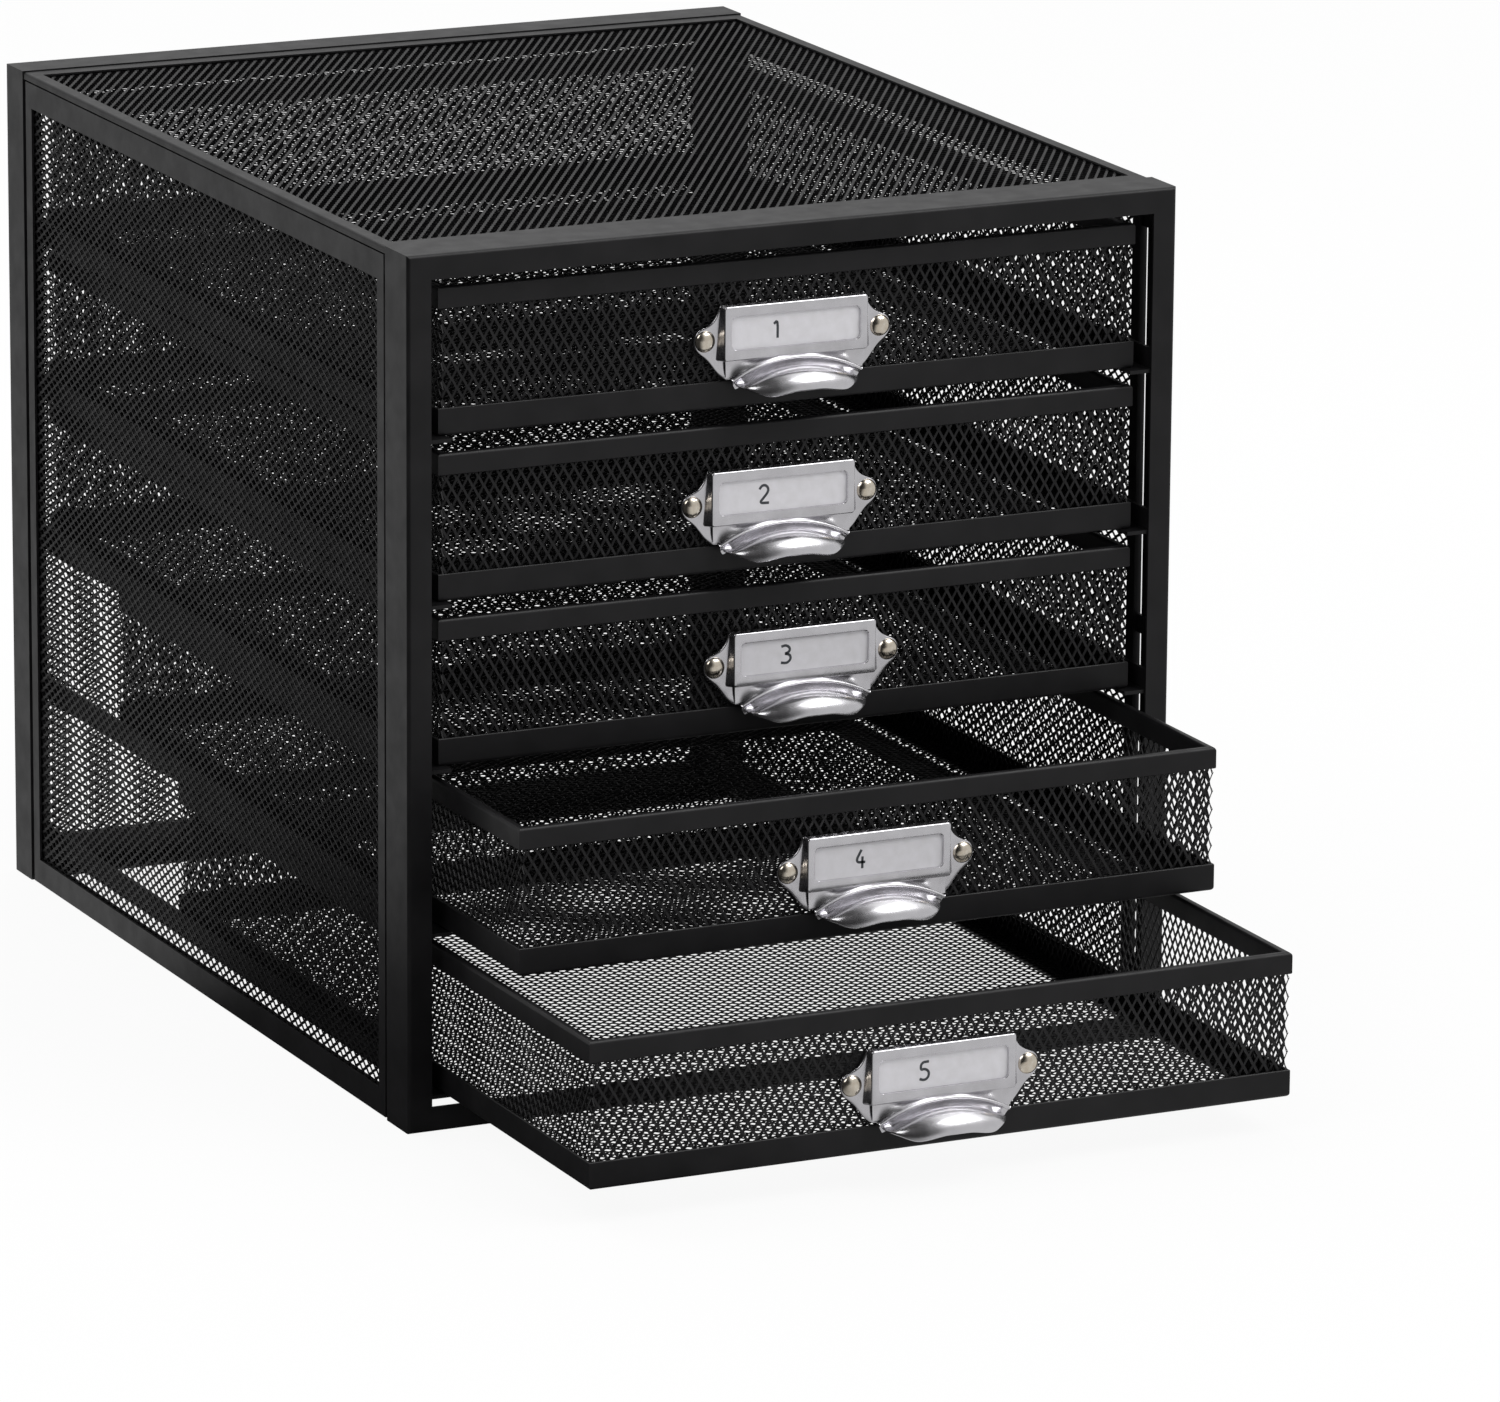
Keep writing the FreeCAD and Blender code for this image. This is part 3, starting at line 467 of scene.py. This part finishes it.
def swept_ring(profile):
    """A closed outline of (inward, height) points, swept round the drawer with mitred corners."""
    points = []
    for sign_x, back in ((-1, False), (1, False), (1, True), (-1, True)):
        for inward, height in profile:
            points.append((sign_x * (HALF - inward), LENGTH - inward if back else inward, height))
    count = len(profile)
    faces = []
    for corner in range(4):
        follower = (corner + 1) % 4
        for index in range(count):
            after = (index + 1) % count
            faces.append((corner * count + index, follower * count + index,
                          follower * count + after, corner * count + after))
    return points, faces


def hem_profile():
    """The rim: a folded hem with a rounded top."""
    thick = 3.0 * MM
    radius = 1.3 * MM
    edge = 0.25 * MM
    foot = HEIGHT - 7.0 * MM
    outline = [(0, foot + edge)]
    outline += arc_points((radius, HEIGHT - radius), radius, 180, 90, 7)
    outline += arc_points((thick - radius, HEIGHT - radius), radius, 90, 0, 7)
    outline += [(thick, foot + edge), (thick - edge, foot), (edge, foot)]
    return outline


def band_profile():
    """The band: a folded angle with its shelf under the floor."""
    sheet = 0.9 * MM
    radius = 1.3 * MM
    edge = 0.2 * MM
    top = 8.8 * MM
    shelf = 8.0 * MM
    outline = [(0, top - edge)]
    outline += arc_points((radius, radius), radius, 180, 270, 5)
    outline += [(shelf, 0), (shelf, sheet)]
    outline += arc_points((radius, radius), radius - sheet, 270, 180, 5)
    outline += [(sheet, top - edge), (sheet - edge, top), (edge, top)]
    return outline


basket = basket_data()
for number in DRAWERS:
    prefix = "drawer_%d" % number
    piece_from(prefix + "_basket_fine", basket, prefix, (prefix + "_basket",), drawer_place[number])

hem = mesh_data("hem", swept_ring(hem_profile()), coat)
band = mesh_data("band", swept_ring(band_profile()), coat)
for data in (hem, band):
    smooth_by_angle(data, degrees=35)
for number in DRAWERS:
    prefix = "drawer_%d" % number
    piece_from(prefix + "_hem", hem, prefix, (prefix + "_rim",), drawer_place[number])
    piece_from(prefix + "_foot", band, prefix, (prefix + "_band",), drawer_place[number])

# Pulls. Lengths are millimetres, and places are counted from the middle of the pull on the drawer's
# front face, with x to the right, y to the back and z up from the pull's own foot line. A depth is
# how far a place stands out in front of the face.
LABEL_HALF = 24.8
LABEL_LOW = 15.6
LABEL_TOP = 33.0
LABEL_PROUD = 3.4
LABEL_ROUND = 0.9
FACE_INSET = 0.45
FACE_ROUND = 0.8
WINDOW_HALF = 22.2
WINDOW_LOW = 19.0
WINDOW_TOP = 29.6
WINDOW_ROUND = 1.9
RIVET_X = 30.2
RIVET_Z = 22.0
ARCH_HALF = 22.2
ARCH_END = 9.6
ARCH_TOP = 15.4


def arch_height(x, end=ARCH_END, top=ARCH_TOP, half=ARCH_HALF):
    """The arch as part of a circle."""
    rise = top - end
    radius = (half * half + rise * rise) / (2 * rise)
    return math.sqrt(max(radius * radius - x * x, 0)) - radius + top


# The pressed sheet behind the label, from the label's top corner round an ear and along the foot
PLATE_TOP = 32.9
PLATE_TOP_HALF = 12
EAR_FLANK = ((25.0, 32.8), (26.2, 29.6), (28.0, 27.4), (30.4, 26.1), (32.9, 25.2), (34.0, 22.6),
             (33.8, 20.2), (32.4, 18.3), (29.8, 16.4), (27.6, 13.6), (25.9, 11.3), (24.2, 9.8))
PLATE_FOOT = ((23.2, 9.3), (20.4, 9.2), (10, 9.2), (0, 9.2))
# Its rolled border: how far inward, and the share of the full depth there
BORDER_SHARES = ((0.0, 0.0), (0.05, 0.6), (0.25, 0.92), (0.6, 1.0), (1.4, 1.0))
# It swells toward the arch, within SWELL_REACH of it
SHEET_DEPTH = 0.62
SWELL_DEPTH = 1.3
SWELL_HALF = 18
SWELL_REACH = 9
SWELL_SPAN = (0.1, 1.0)


def skin_depth(x, z):
    """How far the pressed sheet stands out beside and below the label."""
    beside = max(abs(x) - SWELL_HALF, 0)
    above = z - arch_height(min(abs(x), ARCH_HALF))
    away = math.hypot(beside, above) / SWELL_REACH
    return SHEET_DEPTH + SWELL_DEPTH * (1 - smoothstep(away, *SWELL_SPAN))


def plate_data():
    """The pressed sheet with its two ears, clockwise from the top middle."""
    half = [(0, PLATE_TOP), (PLATE_TOP_HALF, PLATE_TOP), *smoothed(EAR_FLANK), *PLATE_FOOT]
    outline = half + [(-x, z) for x, z in half[::-1][1:-1]]
    count = len(outline)
    outward = []
    for index in range(count):
        before, after = outline[index - 1], outline[(index + 1) % count]
        outward.append(sideways((after[0] - before[0], after[1] - before[1])))
    loops = []
    for inward, share in BORDER_SHARES:
        loop = []
        for (x, z), (out_x, out_z) in zip(outline, outward):
            at_x, at_z = x - out_x * inward, z - out_z * inward
            loop.append((at_x, -skin_depth(at_x, at_z) * share, at_z))
        loops.append(loop)
    points, faces = loft(loops)
    faces.append(tuple(range(len(points) - count, len(points))))
    return points, faces


# The label holder's sides slant: they flare out by a share of the width, and more lower down. Each
# skin's steps are a share of the way from one outline to the next, and how far below the face.
FLARE_SHARE = 0.1235
FLARE_TOP = 36.0
FLARE_LOW = 15.5
SIDE_STEP_SHARES = ((0, 3.1), (0.12, 2.65), (0.6, 1.6))
EDGE_STEP_SHARES = ((0, 0.55), (0.12, 0.27), (0.45, 0.07), (1, 0))
FACE_STEP_SHARES = ((0.5, -0.02), (0.88, 0), (0.97, 0.06), (1, 0.2), (1, 0.9))


def holder_data():
    """The label holder: a raised frame with rounded edges round the window, over the card."""
    foot = []
    for x, z in rounded(LABEL_HALF, FLARE_LOW, LABEL_TOP, LABEL_ROUND):
        foot.append((x * (1 + FLARE_SHARE * (FLARE_TOP - z) / LABEL_TOP), z))
    outer = rounded(LABEL_HALF, LABEL_LOW, LABEL_TOP, LABEL_ROUND)
    face = rounded(LABEL_HALF - FACE_INSET, LABEL_LOW + FACE_INSET, LABEL_TOP - FACE_INSET, FACE_ROUND)
    window = rounded(WINDOW_HALF, WINDOW_LOW, WINDOW_TOP, WINDOW_ROUND)
    loops = []
    for start, end, steps in (
        (foot, outer, SIDE_STEP_SHARES),
        (outer, face, EDGE_STEP_SHARES),
        (face, window, FACE_STEP_SHARES),
    ):
        for share, below in steps:
            loops.append([(between(p[0], q[0], share), below - LABEL_PROUD, between(p[1], q[1], share))
                          for p, q in zip(start, end)])
    return loft(loops)


# The cove over the arch: its depth at the label and at the ridge, in the middle and at its ends
COVE_HALF = 23.6
COVE_TOP = 16.1
COVE_LAP = 0.35
COVE_CURVE = 1.6
COVE_NEAR_MIDDLE = 3.15
COVE_NEAR_END = 1.6
COVE_FAR_MIDDLE = 4.35
COVE_FAR_END = 2.0
COVE_NEAR_SPAN = (5, 15)
COVE_FAR_SPAN = (14, COVE_HALF)


def cove_data():
    """The cove between the label holder and the arch: it flares forward to the arch's ridge."""
    columns = 48
    rows = 9
    loops = []
    for column in range(columns + 1):
        x = COVE_HALF * math.sin(math.pi / 2 * (2 * column / columns - 1))
        near = between(COVE_NEAR_MIDDLE, COVE_NEAR_END, smoothstep(abs(x), *COVE_NEAR_SPAN))
        far = between(COVE_FAR_MIDDLE, COVE_FAR_END, smoothstep(abs(x), *COVE_FAR_SPAN))
        foot = arch_height(min(abs(x), ARCH_HALF)) + COVE_LAP
        loop = []
        for row in range(rows + 1):
            share = row / rows
            loop.append((x, -between(near, far, share ** COVE_CURVE), between(COVE_TOP, foot, share)))
        loops.append(loop)
    return loft(loops, closed=False)


# The arch's ridge, and the band inside it. A step of the band is a share of its width, and a depth.
RIDGE_HALF = 22.4
RIDGE_DEPTH = 3.9
RIDGE_RADIUS = 0.62
RIDGE_INSET = 0.1
SLOPE_RADIUS = 46.5
BAND_WIDTH = 3.1
BAND_TAPER_SHARE = 0.25
BAND_DROP = 0.3
BAND_STEP_SHARES = ((0.2, 3.7), (0.4, 3.35), (0.6, 3.15), (0.8, 3.05), (1.0, 3.0), (1.25, 3.0))


def arch_data():
    """The arch: a rounded ridge, and inside it a hollow band that runs back to the cup's root."""
    columns = 48
    ridge = arc_points((-RIDGE_INSET, 0), RIDGE_RADIUS, -30, 180, 6)
    loops = []
    for column in range(columns + 1):
        place = 2 * column / columns - 1
        x = RIDGE_HALF * math.sin(math.pi / 2 * place)
        z = arch_height(min(abs(x), ARCH_HALF))
        side = x / SLOPE_RADIUS
        up = math.sqrt(1 - side * side)
        loop = [(x + side * reach, -(RIDGE_DEPTH + lift), z + up * reach) for reach, lift in ridge]
        width = BAND_WIDTH * (1 - BAND_TAPER_SHARE * place * place)
        for share, depth in BAND_STEP_SHARES:
            loop.append((x - side * width * share, -depth, z - up * width * share - BAND_DROP))
        loops.append(loop)
    return loft(loops, closed=False)


# The cup: a valley under the arch, a crown in front of it, and a lip that dips in two places
CUP_HALF = 20.4
CUP_REACH = 14.6
CUP_ROOT_DEPTH = 3.2
CUP_WALL = 0.9
CUP_HOLLOW_REACH = 11
CUP_VALLEY_TURN = math.radians(40)
CROWN_DEPTH = 4.4
CROWN_WIDTH_SHARE = 0.86
CROWN_END = 7.4
CROWN_TOP = 12.0
CROWN_HALF = 19.2
CROWN_RISE_SHARE = 0.289
CROWN_OVER_LIP = 0.2
LIP_MIDDLE = 7.1
LIP_DIP = 1.5
LIP_DIP_SPAN = (3, 13.5)
LIP_RISE = 1.9
LIP_RISE_SPAN = (13, CUP_HALF)
LIP_WIDTH_CURVE = 0.9
LIP_DEPTH_CURVE = 0.88
LIP_ROLL = 0.42


def cup_lip(turn_share):
    """A place on the lip, from the left end (-1) to the right end (1)."""
    angle = math.pi / 2 * turn_share
    x = CUP_HALF * math.copysign(abs(math.sin(angle)) ** LIP_WIDTH_CURVE, angle)
    depth = between(CUP_ROOT_DEPTH, CUP_REACH, max(math.cos(angle), 0) ** LIP_DEPTH_CURVE)
    dip = LIP_DIP * smoothstep(abs(x), *LIP_DIP_SPAN)
    rise = LIP_RISE * smoothstep(abs(x), *LIP_RISE_SPAN)
    return x, depth, LIP_MIDDLE - dip + rise


def cup_skin(inward):
    """The cup's sheet: from a valley under the arch up to a crown, then forward and down to the lip."""
    columns = 56
    rows = 18
    loops = []
    for column in range(columns + 1):
        lip_x, lip_depth, lip_z = cup_lip(2 * column / columns - 1)
        crown_rise = CROWN_DEPTH * (lip_depth - CUP_ROOT_DEPTH) / (CUP_REACH - CUP_ROOT_DEPTH)
        crown_depth = CUP_ROOT_DEPTH + crown_rise
        crown_x = lip_x * CROWN_WIDTH_SHARE
        crown_z = arch_height(crown_x, CROWN_END, CROWN_TOP, CROWN_HALF) + CROWN_RISE_SHARE * crown_rise
        crown_z = max(crown_z, lip_z + CROWN_OVER_LIP)
        loop = []
        for row in range(rows + 1):
            angle = -CUP_VALLEY_TURN + (math.pi / 2 + CUP_VALLEY_TURN) * row / rows
            lift = math.cos(angle)
            reach = max(math.sin(angle), 0)
            if angle < 0:
                depth = crown_depth + crown_rise * math.sin(angle) / math.sin(CUP_VALLEY_TURN)
            else:
                depth = between(crown_depth, lip_depth, reach)
            x = between(crown_x, lip_x, reach) * (1 - inward / CUP_HALF)
            depth = between(CUP_ROOT_DEPTH, depth, 1 - inward / CUP_HOLLOW_REACH)
            loop.append((x, -depth, between(lip_z, crown_z, lift) - inward * lift))
        loops.append(loop)
    return loops


def cup_data():
    """The cup with a thin rolled lip."""
    loops = []
    for skin, lining in zip(cup_skin(0), cup_skin(CUP_WALL)):
        tip = skin[-1]
        end = lining[-1]
        roll = []
        for step in range(1, 4):
            share = step / 4
            x, y, z = (between(a, b, share) for a, b in zip(tip, end))
            roll.append((x, y, z - LIP_ROLL * math.sin(math.pi * share)))
        loops.append(skin + roll + lining[::-1])
    points, faces = loft(loops)
    count = len(loops[0])
    faces.append(tuple(range(count)))
    faces.append(tuple(range(len(points) - count, len(points)))[::-1])
    return points, faces


DOME_RADIUS = 3.5
DOME_SKIRT = 0.3
DOME_RISE = 1.85


def dome_data(middle_x, middle_z):
    """A rivet's head: a flattened dome on a short skirt."""
    rings = 10
    around = 28
    loops = []
    for ring in range(rings):
        angle = math.pi / 2 * ring / rings
        circle = arc_points((middle_x, middle_z), DOME_RADIUS * math.cos(angle), 0, 360, around)[:-1]
        depth = DOME_SKIRT + DOME_RISE * math.sin(angle)
        loops.append([(x, -depth, z) for x, z in circle])
    loops.insert(0, [(x, 0.0, z) for x, y, z in loops[0]])
    points, faces = loft(loops)
    start = len(points) - around
    tip = len(points)
    points.append((middle_x, -(DOME_SKIRT + DOME_RISE), middle_z))
    for step in range(around):
        faces.append((start + step, start + (step + 1) % around, tip))
    return points, faces


# Cards: thin sheets, a little bowed, right behind the frame's edge
CARD_LOW = 17.8
CARD_TOP = 32.6
CARD_HALF = 23.3
CARD_DEPTH = 2.53
CARD_BOW = 0.05
CARD_THICK = 0.3


def card_data():
    columns = 24
    rows = 6
    points = []
    for back in (0, CARD_THICK):
        for row in range(rows + 1):
            for column in range(columns + 1):
                bow = CARD_BOW * math.sin(math.pi * column / columns)
                points.append((between(-CARD_HALF, CARD_HALF, column / columns),
                               back - CARD_DEPTH - bow,
                               between(CARD_LOW, CARD_TOP, row / rows)))
    faces = []
    wide = columns + 1
    sheet = wide * (rows + 1)
    for row in range(rows):
        for column in range(columns):
            corner = row * wide + column
            quad = (corner, corner + 1, corner + wide + 1, corner + wide)
            faces.append(quad)
            faces.append(tuple(index + sheet for index in quad[::-1]))
    return points, faces


# Strokes of the plain numbers on the cards, as shares of a digit's width and height
DIGIT_SHARES = {
    1: [[(0.2, 0.78), (0.55, 1.0), (0.55, 0.0)]],
    2: [[(0.05, 0.78), (0.25, 0.97), (0.6, 1.0), (0.88, 0.82), (0.85, 0.6), (0.5, 0.33),
         (0.02, 0.02), (0.95, 0.0)]],
    3: [[(0.05, 0.95), (0.5, 1.02), (0.88, 0.84), (0.8, 0.62), (0.4, 0.54)],
        [(0.4, 0.54), (0.88, 0.46), (0.95, 0.2), (0.6, 0.0), (0.02, 0.06)]],
    4: [[(0.62, 1.0), (0.03, 0.32), (0.98, 0.3)], [(0.72, 0.62), (0.7, -0.04)]],
    5: [[(0.9, 1.0), (0.2, 0.98), (0.12, 0.56), (0.5, 0.62), (0.9, 0.46), (0.88, 0.14),
         (0.5, -0.02), (0.04, 0.08)]],
}
DIGIT_LEFT = -8.2
DIGIT_FOOT = 21.6
DIGIT_WIDTH = 3.7
DIGIT_HEIGHT = 5.8
DIGIT_DEPTH = 2.595
PEN_WIDTH = 0.85


def digit_data(number):
    """A marker's strokes: flat ribbons that follow smoothed lines just above the card."""
    skins = []
    for stroke in DIGIT_SHARES[number]:
        places = [(DIGIT_LEFT + x * DIGIT_WIDTH, DIGIT_FOOT + z * DIGIT_HEIGHT) for x, z in stroke]
        line = smoothed(places)
        points = []
        for index, (x, z) in enumerate(line):
            before = line[max(index - 1, 0)]
            after = line[min(index + 1, len(line) - 1)]
            side_x, side_z = sideways((after[0] - before[0], after[1] - before[1]))
            for reach in (PEN_WIDTH / 2, -PEN_WIDTH / 2):
                points.append((x + side_x * reach, -DIGIT_DEPTH, z + side_z * reach))
        faces = []
        for start in range(0, len(points) - 2, 2):
            faces.append((start, start + 1, start + 3, start + 2))
        skins.append((points, faces))
    return joined("digit_%d" % number, skins, ink, degrees=60)


sheets = [plate_data(), holder_data(), cove_data(), arch_data(), cup_data()]
domes = [dome_data(-RIVET_X, RIVET_Z), dome_data(RIVET_X, RIVET_Z)]
pull = joined("pull", sheets, nickel, degrees=40)
heads = joined("rivet_heads", domes, rivet_metal, degrees=50)
card = joined("card", [card_data()], card_paper, degrees=60)
for number in DRAWERS:
    prefix = "drawer_%d" % number
    low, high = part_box(prefix + "_pull")
    place = Vector(((low.x + high.x) / 2, drawer_place[number].y, high.z - LABEL_TOP * MM))
    piece_from(prefix + "_pull_fine", pull, prefix, (prefix + "_pull",), place)
    piece_from(prefix + "_rivet_heads", heads, prefix, (prefix + "_rivets",), place)
    piece_from(prefix + "_card_fine", card, prefix, (prefix + "_card",), place)
    piece_from(prefix + "_number", digit_data(number), prefix, (), place)

# CAD nodes that stay take their material
for name, node in frame["nodes"].items():
    if node.get("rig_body") == "cabinet" and not name.endswith("_mesh"):
        node.data.materials.clear()
        node.data.materials.append(coat)

# Floor, world and lamps
FLOOR_REACH = 12.0
FLOOR_TONES = ((0.80, 0.80, 0.80), (0.83, 0.83, 0.83))
FLOOR_WHITE_SHARE = 0.92
DARK_SIDE = (-0.92, -0.39, 0)
DIFFUSE_STRENGTH = 0.6
LAMP_TARGET = Vector((0, 0, 0.12))


def mixed(nodes, links, share, first, second):
    """A shader that goes from the first to the second with the share."""
    node = nodes.new("ShaderNodeMixShader")
    for socket, output in zip(node.inputs, (share, first, second)):
        links.new(output, socket)
    return node.outputs[0]


def studio():
    """A pale floor. The camera sees it nearly white but for the shadow. Glossy rays see it glow,
    darker toward one side: a painted reflection that the metal mirrors."""
    material, nodes, links, shader = new_material("studio_floor")
    colour = ramp(nodes, links, noise(nodes, links, 3, 2), NOISE_SPAN, FLOOR_TONES)
    links.new(colour, shader.inputs["Base Color"])
    shader.inputs["Roughness"].default_value = 0.9
    shader.inputs["Specular IOR Level"].default_value = 0.0
    white = nodes.new("ShaderNodeEmission")
    white.inputs["Strength"].default_value = 1.0
    path = nodes.new("ShaderNodeLightPath")
    share = nodes.new("ShaderNodeMath")
    share.operation = "MULTIPLY"
    share.inputs[1].default_value = FLOOR_WHITE_SHARE
    links.new(path.outputs["Is Camera Ray"], share.inputs[0])
    seen = mixed(nodes, links, share.outputs[0], shader.outputs[0], white.outputs[0])

    # Painted reflection: for glossy rays the floor glows, dimmer toward DARK_SIDE, instead of showing
    # its lit colour
    away = nodes.new("ShaderNodeVectorMath")
    away.operation = "NORMALIZE"
    links.new(nodes.new("ShaderNodeTexCoord").outputs["Object"], away.inputs[0])
    toward_dark = nodes.new("ShaderNodeVectorMath")
    toward_dark.operation = "DOT_PRODUCT"
    toward_dark.inputs[1].default_value = DARK_SIDE
    links.new(away.outputs["Vector"], toward_dark.inputs[0])
    shade = map_range(nodes, links, toward_dark.outputs["Value"], (0.3, 0.8), (0.62, 0.03), smooth=True)
    painted_reflection = nodes.new("ShaderNodeEmission")
    links.new(shade, painted_reflection.inputs["Strength"])
    final = mixed(nodes, links, path.outputs["Is Glossy Ray"], seen, painted_reflection.outputs[0])
    links.new(final, nodes["Material Output"].inputs["Surface"])

    data = bpy.data.meshes.new("floor")
    corners = [(-FLOOR_REACH, -FLOOR_REACH, 0), (FLOOR_REACH, -FLOOR_REACH, 0),
               (FLOOR_REACH, FLOOR_REACH, 0), (-FLOOR_REACH, FLOOR_REACH, 0)]
    data.from_pydata(corners, [], [(0, 1, 2, 3)])
    data.materials.append(material)
    floor = bpy.data.objects.new("floor", data)
    bpy.context.scene.collection.objects.link(floor)


def world_light():
    """White to the camera, even on matt surfaces. Metal mirrors a world that is dark to the left,
    light to the right and behind, and brightest overhead."""
    world = bpy.data.worlds.new("studio")
    bpy.context.scene.world = world
    world.use_nodes = True
    nodes = world.node_tree.nodes
    links = world.node_tree.links
    parts = nodes.new("ShaderNodeSeparateXYZ")
    links.new(nodes.new("ShaderNodeTexCoord").outputs["Generated"], parts.inputs[0])

    def ranged(axis, span, result):
        return map_range(nodes, links, parts.outputs[axis], span, result, smooth=True)

    def combined(operation, first, second):
        node = nodes.new("ShaderNodeMath")
        node.operation = operation
        links.new(first, node.inputs[0])
        links.new(second, node.inputs[1])
        return node.outputs[0]

    from_right = ranged("X", (-0.15, 0.32), (0.04, 1.0))
    from_back = ranged("Y", (0.3, 0.7), (0.0, 1.0))
    overhead = ranged("Z", (0.35, 0.8), (0.6, 1.35))
    mirrored = combined("MULTIPLY", combined("MAXIMUM", from_right, from_back), overhead)
    path = nodes.new("ShaderNodeLightPath")
    choice = nodes.new("ShaderNodeMix")
    choice.data_type = "FLOAT"
    links.new(path.outputs["Is Glossy Ray"], choice.inputs[0])
    choice.inputs[2].default_value = DIFFUSE_STRENGTH
    links.new(mirrored, choice.inputs[3])
    light = nodes["Background"]
    light.inputs["Color"].default_value = (1, 1, 1, 1)
    links.new(choice.outputs[0], light.inputs["Strength"])
    white = nodes.new("ShaderNodeBackground")
    white.inputs["Color"].default_value = (1, 1, 1, 1)
    white.inputs["Strength"].default_value = 1.0
    final = mixed(nodes, links, path.outputs["Is Camera Ray"], light.outputs[0], white.outputs[0])
    links.new(final, nodes["World Output"].inputs["Surface"])


def softbox(name, place, width, depth, power):
    """A rectangular lamp that shines on the object."""
    light = bpy.data.lights.new(name, "AREA")
    light.shape = "RECTANGLE"
    light.size = width
    light.size_y = depth
    light.energy = power
    item = bpy.data.objects.new(name, light)
    item.location = place
    item.rotation_euler = (LAMP_TARGET - Vector(place)).to_track_quat("-Z", "Y").to_euler()
    bpy.context.scene.collection.objects.link(item)


studio()
world_light()
softbox("key", (1.3, -1.3, 2.3), 1.8, 1.6, 34)
softbox("fill", (-1.8, -0.9, 2.0), 1.2, 1.2, 10)
softbox("top", (-0.3, 1.2, 2.4), 2.2, 1.4, 26)

bpy.context.scene.view_settings.view_transform = "Standard"
